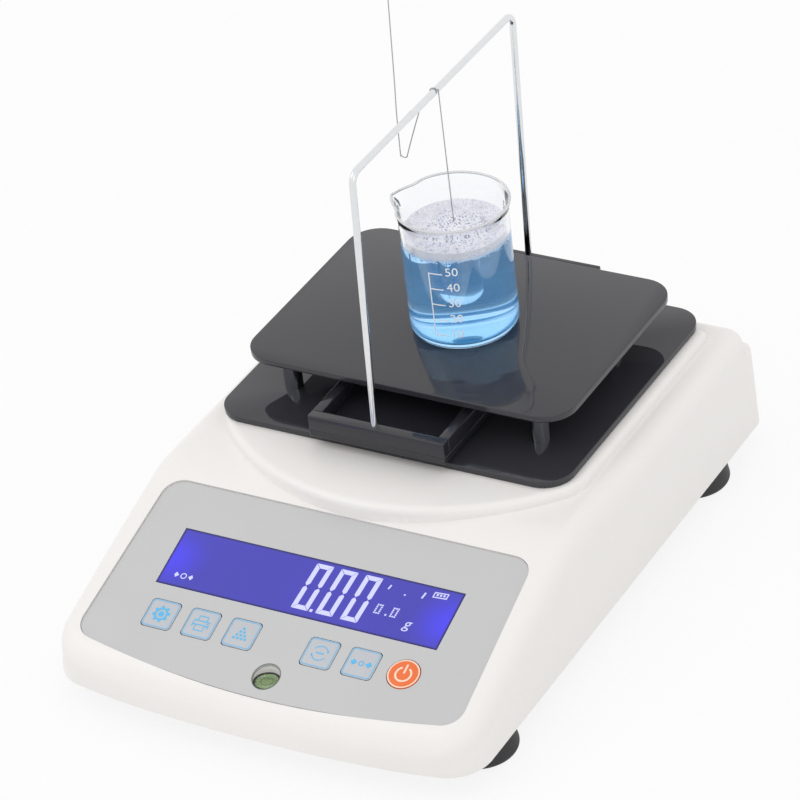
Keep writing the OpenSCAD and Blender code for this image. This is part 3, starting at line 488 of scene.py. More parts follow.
def makeRibbonMaterial():
    # ribs of a flat cable, side by side across its width
    material, tree, shader = startMaterial("ribbonGrey")
    ribs = wire(tree, "TexWave", {"Vector": placed(tree), "Scale": 120, "Distortion": 0.0}, "Fac",
                wave_type="BANDS", bands_direction="X")
    feed(tree, shader, {"Base Color": blended(tree, ribs, (0.36, 0.36, 0.38, 1), (0.5, 0.5, 0.52, 1)),
         "Normal": bumped(tree, ribs, 0.5, 0.0003), "Roughness": 0.4})
    return material


finishes = {
    "cover_white": grained("coverWhite", (0.885, 0.862, 0.838), 0.30, 0.38, 1800, 0.05, 0.015),
    "base_grey": grained("baseGrey", (0.62, 0.62, 0.61), 0.45, 0.6, 1600, 0.2, 0.03),
    "screw_steel": machined("screwSteel", (0.62, 0.62, 0.64), (3000, 3000, 400), 0.25, 0.4),
    "overlay_grey": grained("overlayGrey", (0.565, 0.565, 0.57), 0.34, 0.44, 3200, 0.06, 0.02, Metallic=0.25),
    "lcd_blue": makeDisplayMaterial(display),
    "backlight": grained("backlightWhite", (0.75, 0.8, 0.95), 0.3, 0.5),
    "frame_black": grained("frameBlack", (0.02, 0.02, 0.022), 0.45, 0.6),
    "board_green": makeBoardMaterial(),
    "switch_black": grained("switchBlack", (0.018, 0.018, 0.02), 0.4, 0.55, 3000, 0.15),
    "key_grey": grained("keyGrey", (0.53, 0.55, 0.58), 0.30, 0.40, 3200, 0.05, 0.02),
    "key_orange": polished("keyOrange", (0.88, 0.17, 0.035), 0.18, 0.3, 0.05, 0.02),
    "cup_black": grained("cupBlack", (0.03, 0.033, 0.033), 0.3, 0.45),
    "level_glass": makeGlassMaterial("levelGlass", (0.93, 1.0, 0.92), 1.49, 0.02),
    "level_fluid": polished("levelFluid", (0.40, 0.54, 0.20), 0.05, 0.12, 0.0, 0.02),
    "foot_rubber": grained("footRubber", (0.026, 0.026, 0.029), 0.5, 0.68, 1500, 0.35, 0.15),
    "stud_steel": machined("studSteel", (0.66, 0.66, 0.68), (200, 200, 5000), 0.2, 0.4, 0.6, 0.3),
    "insert_brass": machined("insertBrass", (0.72, 0.5, 0.2), (200, 200, 5000), 0.25, 0.4),
    "block_alu": machined("blockAluminium", (0.6, 0.61, 0.63), (4000, 300, 300), 0.3, 0.45),
    "cell_alu": machined("cellAluminium", (0.72, 0.73, 0.75), (300, 3000, 300), 0.25, 0.4),
    "screw_black": machined("screwBlack", (0.06, 0.06, 0.065), (3000, 3000, 400), 0.35, 0.5),
    "spindle_steel": machined("spindleSteel", (0.72, 0.73, 0.75), (200, 200, 6000), 0.12, 0.25),
    "capacitor_blue": polished("capacitorBlue", (0.02, 0.035, 0.16), 0.2, 0.35),
    "battery_grey": grained("batteryGrey", (0.05, 0.06, 0.075), 0.4, 0.55),
    "strap_black": grained("strapBlack", (0.015, 0.015, 0.016), 0.5, 0.65),
    "ribbon_grey": makeRibbonMaterial(),
    "jack_black": grained("jackBlack", (0.012, 0.012, 0.013), 0.35, 0.5),
    "port_nickel": machined("portNickel", (0.66, 0.66, 0.64), (900, 900, 900), 0.18, 0.32, 0.05),
    "deck_black": polished("deckBlack", (0.036, 0.036, 0.043), 0.0, 0.03, 0.10, 0.006, IOR=1.49),
    "post_black": polished("postBlack", (0.42, 0.43, 0.46), 0.08, 0.16, 0.05, 0.02, Metallic=1.0),
    "tray_black": polished("trayBlack", (0.024, 0.024, 0.030), 0.02, 0.08, 0.12, 0.012, IOR=1.49),
    "rod_steel": machined("rodSteel", (0.78, 0.79, 0.80), (300, 300, 300), 0.04, 0.10, 0.02, 0.05),
    "wire_steel": machined("wireSteel", (0.45, 0.45, 0.46), (900, 900, 900), 0.2, 0.35, 0.02, 0.1),
    "sinker_glass": makeGlassMaterial("sinkerGlass", (0.97, 0.99, 1.0), 1.39),
    "beaker_glass": makeGlassMaterial("beakerGlass", (0.97, 0.985, 1.0), 1.47),
}

# painted light: the liquid glows faintly blue, brightening it as if lit through, though it is no lamp
liquidBlue = makeGlassMaterial("liquidBlue", (0.94, 0.99, 1.0), 1.34, 0.0, (0.16, 0.66, 1.0), 19.0,
                               **glowing((0.06, 0.36, 0.72), 0.14))
# a pale, partly clear glass for the painted highlight on the beaker's rim
rimHighlightGlass = makeGlassMaterial("rimHighlightGlass", (0.97, 0.98, 1.0), 1.2, 0.1, **{"Transmission Weight": 0.35})
foamWhite = makeFoamMaterial(foamLook)
bubbleClear = makeGlassMaterial("bubbleClear", (0.96, 0.98, 1.0), 1.12, 0.02)
inkPale = polished("inkPale", (0.12, 0.12, 0.2), 0.3, 0.4, 0.0, **glowing(display["ink"], 0.84))
inkBlue = polished("inkBlue", (0.11, 0.50, 0.84), 0.3, 0.42, 0.0)
inkLine = polished("inkLine", (0.21, 0.50, 0.78), 0.3, 0.42, 0.0)
inkCream = polished("inkCream", (0.95, 0.72, 0.56), 0.3, 0.42, 0.0)
inkWhite = polished("inkWhite", (0.9, 0.93, 0.95), 0.35, 0.5, 0.0)
ringDark = grained("ringDark", (0.10, 0.12, 0.10), 0.25, 0.35)

for row in frame["record"]["subparts"]:
    cadMesh = frame["nodes"][row["node"]].data
    cadMesh.materials.clear()
    cadMesh.materials.append(finishes[row["material_slot"]])
print("materials made:", len(bpy.data.materials))

# housing cover: the CAD's cover with its mitred corners run into each other
coverSizes = {"halfW": 99.0, "halfL": 141.0, "top": 60.0, "low": 5.0, "rim": 11.0,
              "draft": 1.6, "rearDraft": 1.4, "frontR": 18.0, "rearR": 10.0, "bowR": 497.0, "bowSoft": 5.0,
              "rearSoft": 1.0, "strip": 22.0, "cheek": 1.1, "cheekLow": -16.0, "cheekOver": 8.0,
              "browR": 60.0, "raise": 0.8, "roofR": 7.0,
              "ledge": 5.0, "ledgeZ": 48.0, "ledgeR": 1.6, "ledgeRun": 60.0,
              "lowR": 7.0, "highR": 10.0, "growOver": 60.0,
              "plateauH": 4.0, "plateauR": 105.0, "plateauY": 60.0, "plateauSide": 85.0, "plateauBack": 121.0,
              "plateauEdge": 3.0, "plateauCorner": 4.0, "plateauSunk": 7.0, "inset": 0.06, "cell": 1.5,
              "grid": ((-101, -143, 3.2), (101, 143, 66))}


def roundMax(a, b, r):
    # the corner of two solids rounded off: the length of the two distances counted from r inside, less r
    return np.minimum(np.maximum(a, b), -r) + np.hypot(np.maximum(a + r, 0), np.maximum(b + r, 0))


def softMax(a, b, k):
    # the larger of two, plus a quarter of k where they are equal, fading out where they differ by k
    return np.maximum(a, b) + np.maximum(k - np.abs(a - b), 0) ** 2 / (4 * k)


def eased(t):
    # from 0 to 1 with a soft start and end: t held between them, then t squared times (3 - 2 t)
    t = np.clip(t, 0, 1)
    return t * t * (3 - 2 * t)


def coverPlan(x, y, s):
    # distance to a rectangle with round corners whose front edge is a shallow arc
    cx = s["halfW"] - s["frontR"]
    bowY = s["bowR"] - s["halfL"]
    cy = bowY - math.sqrt((s["bowR"] - s["frontR"]) ** 2 - cx ** 2)
    rx, ry = s["halfW"] - s["rearR"], s["halfL"] - s["rearR"]
    x = np.abs(x)
    side = x - s["halfW"]
    back = y - s["halfL"]
    rear = np.where((x > rx) & (y > ry), np.hypot(x - rx, y - ry) - s["rearR"], np.maximum(side, back))
    arc = np.hypot(x, y - bowY) - s["bowR"]
    corner = np.hypot(x - cx, y - cy) - s["frontR"]
    inArc = x * (cy - bowY) > (y - bowY) * cx  # this side of the line from the arc's centre through the corner's
    return np.where(y > cy, np.maximum(rear, side), np.where(x > cx, np.where(inArc, arc, corner), arc))


def coverField(p, s):
    # how far each point lies outside the smooth cover: walls and roof are distances, joined by roundMax
    x, y, z = p
    lean = s["draft"] * np.clip((z - s["rim"]) / (s["top"] - s["highR"] - s["rim"]), 0, 1)
    t = math.radians(s["strip"])
    strip = -math.cos(t) * (y + s["halfL"]) + math.sin(t) * (z - s["rim"])
    a = math.radians(panelAt["slope"])
    n = (-math.sin(a), math.cos(a))
    slopeD = n[0] * panelAt["y"] + n[1] * panelAt["z"] + s["raise"]
    slope = n[0] * y + n[1] * z - slopeD
    lean = np.maximum(lean, s["cheek"] * eased((slope - s["cheekLow"]) / s["cheekOver"]))
    walls = softMax(coverPlan(np.abs(x) + lean, y, s), strip, s["bowSoft"])
    back = y - s["halfL"] + s["rearDraft"] * (z - s["rim"]) / (s["ledgeZ"] - s["rim"])
    walls = softMax(walls, back, s["rearSoft"])
    cz = s["top"] - s["browR"]
    cy = (slopeD - s["browR"] - n[1] * cz) / n[0]
    onBrow = (y < cy) & ((y - cy) * n[1] - (z - cz) * n[0] > 0)
    roof = np.where(onBrow, np.hypot(y - cy, z - cz) - s["browR"], np.maximum(slope, z - s["top"]))
    roof = roundMax(roof, y - (s["halfL"] - s["rearDraft"] - s["ledge"]), s["roofR"])
    shoulder = s["lowR"] + (s["highR"] - s["lowR"]) * eased((y + s["growOver"]) / s["growOver"])
    upper = roundMax(walls, roof, shoulder)
    ledge = np.maximum(z - s["ledgeZ"], (s["halfL"] - s["ledgeRun"] - y) / 2)
    lower = roundMax(walls, ledge, s["ledgeR"])
    edge = np.maximum(np.hypot(x, y - s["plateauY"]) - s["plateauR"], y - s["plateauBack"])
    edge = roundMax(edge, np.abs(x) - s["plateauSide"], s["plateauCorner"])
    land = roundMax(edge, z - s["top"] - s["plateauH"], s["plateauEdge"])
    land = np.maximum(land, s["top"] - s["plateauSunk"] - z)
    body = np.minimum(np.minimum(upper, lower), land)
    return np.maximum(body, s["low"] - z) + s["inset"]


def surfaceNet(field, low, high, cell):
    # one corner in each grid cell that the surface crosses, at the mean of its edges' crossings,
    # and one face round each grid edge that the surface crosses
    counts = [int(math.ceil((b - a) / cell)) + 1 for a, b in zip(low, high)]
    value = field(np.meshgrid(*(a + cell * np.arange(c) for a, c in zip(low, counts)), indexing="ij"))
    cells = tuple(c - 1 for c in counts)
    total, hits = np.zeros(cells + (3,)), np.zeros(cells)
    edges = []
    for axis in range(3):
        first, second = (k for k in range(3) if k != axis)
        v, t, n = (np.moveaxis(a, axis, 0) for a in (value, total, hits))
        crossed = (v[:-1] < 0) != (v[1:] < 0)
        share = np.where(crossed, v[:-1] / np.where(crossed, v[:-1] - v[1:], 1), 0)
        for da, db in ((0, 0), (0, 1), (1, 0), (1, 1)):
            pick = (slice(None), slice(da, da + cells[first]), slice(db, db + cells[second]))
            t[..., axis] += share[pick]
            t[..., first] += da * crossed[pick]
            t[..., second] += db * crossed[pick]
            n += crossed[pick]
        edges.append((axis, first, second, crossed, v))
    used = hits > 0
    number = np.full(cells, -1)
    number[used] = np.arange(used.sum())
    points = np.array(low) + cell * (np.argwhere(used) + total[used] / hits[used][:, None])
    faces = []
    for axis, first, second, crossed, v in edges:
        at = np.argwhere(np.moveaxis(crossed[:, 1:-1, 1:-1], 0, axis))
        i, j, k = at[:, axis], at[:, first], at[:, second]
        beside = np.moveaxis(number, axis, 0)
        ring = np.stack([beside[i, j + a, k + b] for a, b in ((0, 0), (1, 0), (1, 1), (0, 1))], -1)
        flip = (v[i, j + 1, k + 1] < 0) == (axis == 1)
        faces.append(np.where(flip[:, None], ring[:, ::-1], ring))
    return points, np.concatenate(faces)


def pulledOnto(field, points, rounds=5, h=0.02):
    # each corner moved along the field's slope by value / slope squared, a few times over
    for _ in range(rounds):
        slope = np.stack([field((points + d).T) - field((points - d).T) for d in h * np.eye(3)], -1) / (2 * h)
        points = points - slope * (field(points.T) / np.maximum((slope ** 2).sum(-1), 0.05))[:, None]
    return points


def bakedMesh(holder):
    # the object's mesh as its modifier or its type makes it
    bpy.context.view_layer.update()
    return bpy.data.meshes.new_from_object(holder.evaluated_get(bpy.context.evaluated_depsgraph_get()))


def smoothCover(s):
    # the CAD's cover, merged, cut by the smooth form that lies a hair inside it
    def field(p):
        return coverField(p, s)
    points, faces = surfaceNet(field, *s["grid"], s["cell"])
    form = meshOf("coverForm", pulledOnto(field, points), faces.tolist())
    reworked(form, facedOut, flattened(0.12), lambda work: bmesh.ops.triangulate(work, faces=work.faces[:]))
    cover, tool = (inScene("coverWork", mesh) for mesh in (mergedCopy("upper_cover", "coverWork"), form))
    cut = cover.modifiers.new("cut", "BOOLEAN")
    cut.operation = "INTERSECT"
    cut.solver = "MANIFOLD"
    cut.object = tool
    mesh = bakedMesh(cover)
    mesh.name = "coverShell"
    for helper in (cover, tool):
        bpy.data.objects.remove(helper)
    addPiece("coverShell", mesh, "housing", "cover_white", ("upper_cover",), 30)


smoothCover(coverSizes)
print("cover made")

# decks and tray
deckSizes = {"x": -2.2, "lowerY": 59.0, "lower": (165.0, 138.0, 13.0), "upperY": 61.3,
             "upper": (153.4, 109.8, 14.0), "lowZ": (64.0, 67.0), "highZ": (84.1, 87.1),
             "edge": 0.35, "holeR": 9.0}


def drilled(outer, height, centre, radius, depth):
    # rings up the outside and then down a hole, each of the hole's corners facing one of the outside's
    way = outer[-1] - centre
    hole = centre + radius * way / np.linalg.norm(way, axis=1, keepdims=True)
    return ringsAt(np.concatenate([outer, [hole, hole]]),
                   np.concatenate([height, [height[-1], height[-1] - depth]]))


def deckWithHole(s):
    # the hole goes right through, so the last ring joins the first
    inset, height = softEdge(*s["lowZ"], s["edge"])
    w, d, r = s["lower"]
    centre = np.array([s["x"], s["lowerY"]])
    outer = np.array([roundedLoop(w - 2 * k, d - 2 * k, r - k, 12) for k in inset]) + centre
    return torusOf(drilled(outer, height, centre, s["holeR"], s["lowZ"][1] - s["lowZ"][0]))


makePiece("lowerDeck", deckWithHole(deckSizes), "housing", "deck_black", ("lower_deck",))
makePiece("topPlatform", plate(*deckSizes["upper"], *deckSizes["highZ"], deckSizes["edge"],
          (deckSizes["x"], deckSizes["upperY"])), "housing", "deck_black", ("top_platform",))
softened("trayFloor", "tray_floor", "tray", "tray_black", 0.3)
traySizes = {"side": 4.6, "end": 4.8, "edge": 0.3, "rodX": -3.7, "rodIn": 2.8, "rodR": 1.55, "depth": 5.5}


def trayWalls(s):
    # long thin walls inside the CAD's outline; each end wall has a blind hole for the rod's foot
    low, high = (np.array(c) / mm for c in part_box("tray_end_bars"))
    x, w = (low[0] + high[0]) / 2, high[0] - low[0]
    sides = [plate(s["side"], high[1] - low[1] - 2 * s["end"], 0.4, low[2], high[2], s["edge"],
             (x + k * (w - s["side"]) / 2, (low[1] + high[1]) / 2)) for k in (-1, 1)]
    ends = []
    for edge, k in ((low[1], 1), (high[1], -1)):
        inset, height = softEdge(low[2], high[2], s["edge"])
        middle = edge + k * s["end"] / 2
        outer = np.array([roundedLoop(w - 2 * q, s["end"] - 2 * q, 0.6 - q) for q in inset]) + (x, middle)
        hole = np.array([s["rodX"], edge + k * s["rodIn"]])
        ends.append(loft(drilled(outer, height, hole, s["rodR"], s["depth"])))
    return joined(sides), joined(ends)


sideWalls, endWalls = trayWalls(traySizes)
makePiece("traySideBars", sideWalls, "tray", "tray_black", ("tray_side_bars",))
makePiece("trayEndBars", endWalls, "tray", "tray_black", ("tray_end_bars",))
print("decks and tray made")

# gantry, wire and sinker
gantrySizes = {"x": -3.7, "rod": 1.5, "bend": 5.0, "front": -11.6, "rear": 127.2, "footZ": 72.05,
               "fromZ": 79.0, "barZ": 195.0, "lean": 3.8}


def roundedPath(corners, radius, steps=14):
    # each inner corner becomes an arc that touches both sides: tangent length = radius times tan(half the turn)
    corners = np.asarray(corners, float)
    stretches = [corners[:1]]
    for before, here, after in zip(corners[:-2], corners[1:-1], corners[2:]):
        a = (before - here) / np.linalg.norm(before - here)
        b = (after - here) / np.linalg.norm(after - here)
        halfOpen = math.acos(float(np.clip(a @ b, -1, 1))) / 2
        reach = radius / math.tan(halfOpen)
        middle = here + (a + b) / np.linalg.norm(a + b) * radius / math.sin(halfOpen)
        t = np.linspace(0, 1, steps)[:, None]
        first, last = here + a * reach - middle, here + b * reach - middle
        sweep = math.pi - 2 * halfOpen
        arc = (np.sin((1 - t) * sweep) * first + np.sin(t * sweep) * last) / math.sin(sweep)
        stretches.append(middle + arc)
    stretches.append(corners[-1:])
    return np.concatenate(stretches)


def gantryRod(s):
    # up the front leg, along the bar and down the rear leg; y grows by tan(lean) times the height above fromZ
    tilt = math.tan(math.radians(s["lean"]))
    outline = (("front", "footZ"), ("front", "barZ"), ("rear", "barZ"), ("rear", "footZ"))
    corners = [(s["x"], s[y] + (s[z] - s["fromZ"]) * tilt, s[z]) for y, z in outline]
    return tube(roundedPath(corners, s["bend"]), s["rod"], 32, (1, 0, 0))


makePiece("gantryRod", gantryRod(gantrySizes), "gantry_frame", "rod_steel", ("gantry",))

wireSizes = {"y": 65.6, "radius": 0.25, "eyeR": 1.1, "strandX": -1.65, "hookX": -3.7, "hookR": 2.05,
             "hookZ": 194.73, "bend": (-21.9, 162.0, 1.7), "free": ((-9.9, 189), (-15.5, 175)), "room": 0.03,
             "tail": ((-23.1, 180.5), (-22.1, 198.7), (-20.2, 239.9))}
sinkerSizes = {"bottom": 98.0, "height": 30.0, "radius": 5.5, "ringR": 1.9, "ringWire": 0.6, "ringLift": 0.4}
ringZ = sinkerSizes["bottom"] + sinkerSizes["height"] + sinkerSizes["ringR"] + sinkerSizes["ringLift"]
# the eye hangs just under the ring's upper arc
eyeZ = (ringZ + sinkerSizes["ringR"] - sinkerSizes["ringWire"] - wireSizes["room"]
        + wireSizes["eyeR"] - wireSizes["radius"])


def smoothThrough(knots, steps=10):
    # a curve through every knot, by cubic weights, with each knot's slope taken from its neighbours
    knots = np.asarray(knots, float)
    ends = np.concatenate([2 * knots[:1] - knots[1:2], knots, 2 * knots[-1:] - knots[-2:-1]])
    p0, p1, p2, p3 = ends[:-3, None], ends[1:-2, None], ends[2:-1, None], ends[3:, None]
    t = np.linspace(0, 1, steps, endpoint=False)[None, :, None]
    curve = 0.5 * (2 * p1 + (p2 - p0) * t + (2 * p0 - 5 * p1 + 4 * p2 - p3) * t ** 2
                   + (3 * p1 - p0 - 3 * p2 + p3) * t ** 3)
    return np.concatenate([curve.reshape(-1, knots.shape[1]), knots[-1:]])


def standingRing(centre, axis, radius, thick, count, sides):
    # a closed round wire in an upright plane, whose normal is x for axis 0 and y for axis 1
    t = np.linspace(0, 2 * math.pi, count, endpoint=False)
    loop = np.tile(np.asarray(centre, float), (count, 1))
    loop[:, 1 - axis] += radius * np.cos(t)
    loop[:, 2] += radius * np.sin(t)
    return tube(loop, thick, sides, np.eye(3)[axis], True)


def sinkerWire(s):
    # up from the eye, over the rod, down to the low bend and up again as a free tail
    hook = np.linspace(0, math.pi, 20)
    over = np.stack([s["hookX"] + s["hookR"] * np.cos(hook), s["hookZ"] + s["hookR"] * np.sin(hook)], -1)
    dip = np.linspace(0, math.pi, 9)
    bx, bz, br = s["bend"]
    under = np.stack([bx + br * np.cos(dip), bz - br * np.sin(dip)], -1)
    strand = [(s["strandX"], eyeZ + s["eyeR"] - 0.1), (s["strandX"], 160), (s["strandX"], s["hookZ"] - 1)]
    free = [(s["hookX"] - s["hookR"] - 0.4, s["hookZ"] - 2), *s["free"]]
    flat = smoothThrough(np.concatenate([strand, over, free, under, s["tail"]]), 8)
    path = np.stack([flat[:, 0], np.full(len(flat), s["y"]), flat[:, 1]], -1)
    eye = standingRing((s["strandX"], s["y"], eyeZ), 0, s["eyeR"], s["radius"], 32, 12)
    return joined([tube(path, s["radius"], 12, (0, 1, 0)), eye])


makePiece("sinkerWire", sinkerWire(wireSizes), "sinker", "wire_steel", ("sinker_wire",))


def glassSinker(s, w):
    # two half balls and the wall between them, turned about the wire, and a ring stood on its top
    a = np.linspace(0.02, math.pi / 2, 12)
    low, high = s["bottom"] + s["radius"], s["bottom"] + s["height"] - s["radius"]
    radii = np.concatenate([s["radius"] * np.sin(a), s["radius"] * np.sin(a[::-1])])
    heights = np.concatenate([low - s["radius"] * np.cos(a), high + s["radius"] * np.cos(a[::-1])])
    body = turned(radii, heights, (w["strandX"], w["y"]), 64)
    return joined([body, standingRing((w["strandX"], w["y"], ringZ), 1, s["ringR"], s["ringWire"], 40, 16)])


makePiece("glassSinker", glassSinker(sinkerSizes, wireSizes), "sinker", "sinker_glass", ("glass_sinker",))
print("gantry, wire and sinker made")

# beaker with its liquid and foam
beakerSizes = {"x": 1.9, "y": 59.9, "z": 87.1, "radius": 23.2, "height": 59.9, "wall": 1.5, "floor": 2.4,
               "flare": 1.0, "rim": 0.5, "gleam": 0.05, "sides": 180, "spoutAngle": 187.0, "spoutReach": 3.0,
               "spoutWide": 24.0, "pinch": 0.9, "pinchAt": 27.0, "pinchWide": 9.0}


def carried(s, radius, turn, z):
    # radius, turn and height about the beaker's axis to points
    z = np.broadcast_to(z, radius.shape)
    return np.stack([s["x"] + radius * np.cos(turn), s["y"] + radius * np.sin(turn), z], -1)


def spoutPush(s):
    # how far the rim moves out at each turn: a pointed bump, less a shallow bell at both its sides
    turn = np.linspace(0, 2 * math.pi, s["sides"], endpoint=False)
    off = np.degrees(np.abs((turn - math.radians(s["spoutAngle"]) + math.pi) % (2 * math.pi) - math.pi))
    bump = s["spoutReach"] * np.clip(1 - off / s["spoutWide"], 0, 1) ** 1.5
    return turn, bump - s["pinch"] * np.exp(-((off - s["pinchAt"]) / s["pinchWide"]) ** 2)


def beakerShape(s):
    # one closed profile, up the outside, over the bead of the rim and down the inside, carried round the axis;
    # the spout's push fades down the wall
    r, h, e, flare = s["radius"], s["height"], s["rim"], s["flare"]
    a = np.linspace(0, math.pi / 2, 7)
    outside = [(0.02, 0.35), (r - 5.5, 0.3), (r - 4.6, 0.0)]
    outside += list(zip(r - 4 + 4 * np.sin(a), 4 - 4 * np.cos(a)))
    outside += [(r, 18), (r, 34), (r + 0.1, 50.9), (r + 0.25, 53.6), (r + 0.55, 56), (r + flare, 57.8)]
    bead = np.linspace(-0.35 * math.pi, 0.95 * math.pi, 9)
    over = list(zip(r + flare + e * np.cos(bead), h - e + e * np.sin(bead)))
    q = r - s["wall"]
    inside = [(q + 0.5, 57), (q + 0.25, 54), (q + 0.08, 50.6), (q, 34), (q, 18)]
    inside += list(zip(q - 3 + 3 * np.sin(a[::-1]), s["floor"] + 3 - 3 * np.cos(a[::-1])))
    inside += [(q - 6, s["floor"]), (0.02, s["floor"])]
    profile = np.array(outside + over + inside, float)
    turn, push = spoutPush(s)
    fade = np.clip((profile[:, 1] - 45) / (h - 45), 0, 1) ** 2.2
    return loft(carried(s, profile[:, :1] + fade[:, None] * push[None], turn, s["z"] + profile[:, 1:]))


def rimGleam(s):
    # a thin pale ring that follows the rim and its spout: a painted highlight standing in for the lamps'
    # reflections on the rim
    turn, push = spoutPush(s)
    a = np.linspace(0, 2 * math.pi, 12, endpoint=False)[:, None]
    e = s["rim"] + s["gleam"]
    radius = s["radius"] + s["flare"] + push[None] + e * np.cos(a)
    return torusOf(carried(s, radius, turn, s["z"] + s["height"] - s["rim"] + e * np.sin(a)))


makePiece("beakerGlass", beakerShape(beakerSizes), "beaker_glassware", "beaker_glass", ("beaker",), 60)
# the pale ring over the rim is a painted highlight
makePiece("beakerRimHighlight", rimGleam(beakerSizes), "beaker_glassware", rimHighlightGlass, angle=60)

drink = {"foamLow": 130.6, "foamTop": 133.4, "overlap": 0.06, "bubbles": 900, "seed": 11,
         "size": (0.25, 0.62), "onRim": 0.55, "sides": 216}


def wobble(x, y, seed, pitch=1.5):
    # the mean of nine sine waves in set directions, each finer than the last, from -1 to 1
    chance = np.random.default_rng(seed)
    total, waves = np.zeros(np.broadcast(x, y).shape), 9
    for k in range(waves):
        way, phase = chance.uniform(0, 2 * math.pi, 2)
        total += np.sin((x * math.cos(way) + y * math.sin(way)) * pitch * (1 + 0.35 * k) + phase)
    return total / waves


def liquidShape(s, d):
    # a hair wider than the glass's inside, up to the middle of the foam
    q = s["radius"] - s["wall"] + d["overlap"]
    a = np.linspace(0, math.pi / 2, 7)
    base, top = s["z"] + s["floor"] - d["overlap"], d["foamLow"] + 1.5
    radii = [0.02, q - 6] + list(q - 3 + 3 * np.sin(a)) + [q, q, 0.02]
    heights = [base, base] + list(base + 3 - 3 * np.cos(a)) + [110, top, top]
    return turned(radii, heights, (s["x"], s["y"]), 144)


def foamShape(s, d):
    # a disc whose top is a field of low mounds, climbing the wall at its edge, and whose lower rim is ragged
    q = s["radius"] - s["wall"] - 0.05
    turn = np.linspace(0, 2 * math.pi, d["sides"], endpoint=False)[None]
    share = np.concatenate([[0.004], np.linspace(0.04, 1, 44)])[:, None]
    x, y = q * share * np.cos(turn), q * share * np.sin(turn)
    top = d["foamTop"] + 0.35 * wobble(x, y, d["seed"]) + 1.6 * np.clip((share - 0.8) / 0.2, 0, 1) ** 2
    low = d["foamLow"] + 0.9 * wobble(22 * np.cos(turn), 22 * np.sin(turn), d["seed"] + 1, pitch=0.55)
    flat = d["foamLow"] + 1.0 + 0 * turn
    under = np.concatenate([low, flat, flat])
    wall = np.array([1.0, 0.9, 0.004])[:, None]
    rings = [np.stack([x, y, top], -1), np.stack([q * wall * np.cos(turn), q * wall * np.sin(turn), under], -1)]
    return loft(np.concatenate(rings) + np.array([s["x"], s["y"], 0]))


def bubbleCloud(s, d):
    # small balls of 6 by 10 faces, laid on the foam and along its lower rim
    chance = np.random.default_rng(d["seed"])
    n = d["bubbles"]
    q = s["radius"] - s["wall"] - 0.1
    size = chance.uniform(*d["size"], n) * np.where(chance.uniform(size=n) < 0.12, 1.5, 1.0)
    turn = chance.uniform(0, 2 * math.pi, n)
    onRim = np.arange(n) < n * d["onRim"]
    reach = np.where(onRim, q - size, np.sqrt(chance.uniform(0.02, 0.97, n)) * (q - size))
    height = np.where(onRim, d["foamLow"] + chance.uniform(-1.3, 3.6, n),
                      d["foamTop"] + chance.uniform(-0.1, 0.5, n))
    height += np.where(onRim, 0, 1.5 * np.clip((reach / q - 0.8) / 0.2, 0, 1) ** 2)
    lat = np.linspace(0.06, math.pi - 0.06, 7)[:, None]
    lon = np.linspace(0, 2 * math.pi, 10, endpoint=False)[None]
    ball = [np.sin(lat) * np.cos(lon), np.sin(lat) * np.sin(lon), -np.cos(lat) + 0 * lon]
    points, faces = loft(np.stack(ball, -1))
    cloud = carried(s, reach, turn, height)[:, None] + size[:, None, None] * points[None]
    return cloud.reshape(-1, 3), [[c + k * len(points) for c in face] for k in range(n) for face in faces]


makePiece("blueLiquid", liquidShape(beakerSizes, drink), "beaker_glassware", liquidBlue, angle=60)
makePiece("foamHead", foamShape(beakerSizes, drink), "beaker_glassware", foamWhite, angle=70)
makePiece("foamBubbles", bubbleCloud(beakerSizes, drink), "beaker_glassware", bubbleClear, angle=60)

# print: flat marks with a little thickness, laid on the panel or round the glass
printLift = {"sign": (0.02, 0.07), "digit": (0.02, 0.08)}  # from where to where the marks stand out


def onPanel(points):
    # (across, up the slope, out of the panel) to the row frame
    lean = math.radians(panelAt["slope"])
    u, v, w = np.moveaxis(np.asarray(points, float), -1, 0)
    return np.stack([u, panelAt["y"] + v * math.cos(lean) - w * math.sin(lean),
                     panelAt["z"] + v * math.sin(lean) + w * math.cos(lean)], -1)


def onGlass(points):
    # (degrees round the glass, height, out of the glass) to the row frame
    a, z, w = np.moveaxis(np.asarray(points, float), -1, 0)
    return carried(beakerSizes, beakerSizes["radius"] + w, np.radians(a), z)


def patch(loop, low, high):
    # a filled outline between two heights
    return loft(ringsAt(np.array([loop, loop], float), [low, high]))


def band(outer, inner, low, high):
    # the strip between two outlines of equal length, closed all round
    return torusOf(ringsAt(np.array([inner, outer, outer, inner], float), [low, low, high, high]))


def stripe(path, width, low, high):
    # a line of even width: the path moved half the width to each side
    path = np.asarray(path, float)
    along = np.gradient(path, axis=0)
    along /= np.linalg.norm(along, axis=1, keepdims=True)
    side = np.stack([-along[:, 1], along[:, 0]], -1) * width / 2
    return patch(np.concatenate([path - side, (path + side)[::-1]]), low, high)


def arcLine(centre, radius, start, stop, width, low, high, count=32):
    # a part of a ring, between two angles in degrees
    a = np.radians(np.linspace(start, stop, count))
    return stripe(np.asarray(centre) + radius * np.stack([np.cos(a), np.sin(a)], -1), width, low, high)


def disc(centre, radius, low, high, count=28):
    return patch(circleLoop(radius, count) + np.asarray(centre, float), low, high)


def boxMark(u0, v0, u1, v1, low, high):
    return patch([(u0, v0), (u1, v0), (u1, v1), (u0, v1)], low, high)


def laid(shape, place):
    points, faces = shape
    return place(points), faces


def panelPiece(name, shape, body, look, replaces=()):
    makePiece(name, laid(shape, onPanel), body, look, replaces)


digitSizes = {"left": (-4.3, 7.1, 18.6), "low": 3.2, "high": 26.2, "width": 7.8, "stroke": 2.1, "gap": 0.14,
              "slant": 0.06, "point": (4.3, 3.2, 5.6, 4.5)}


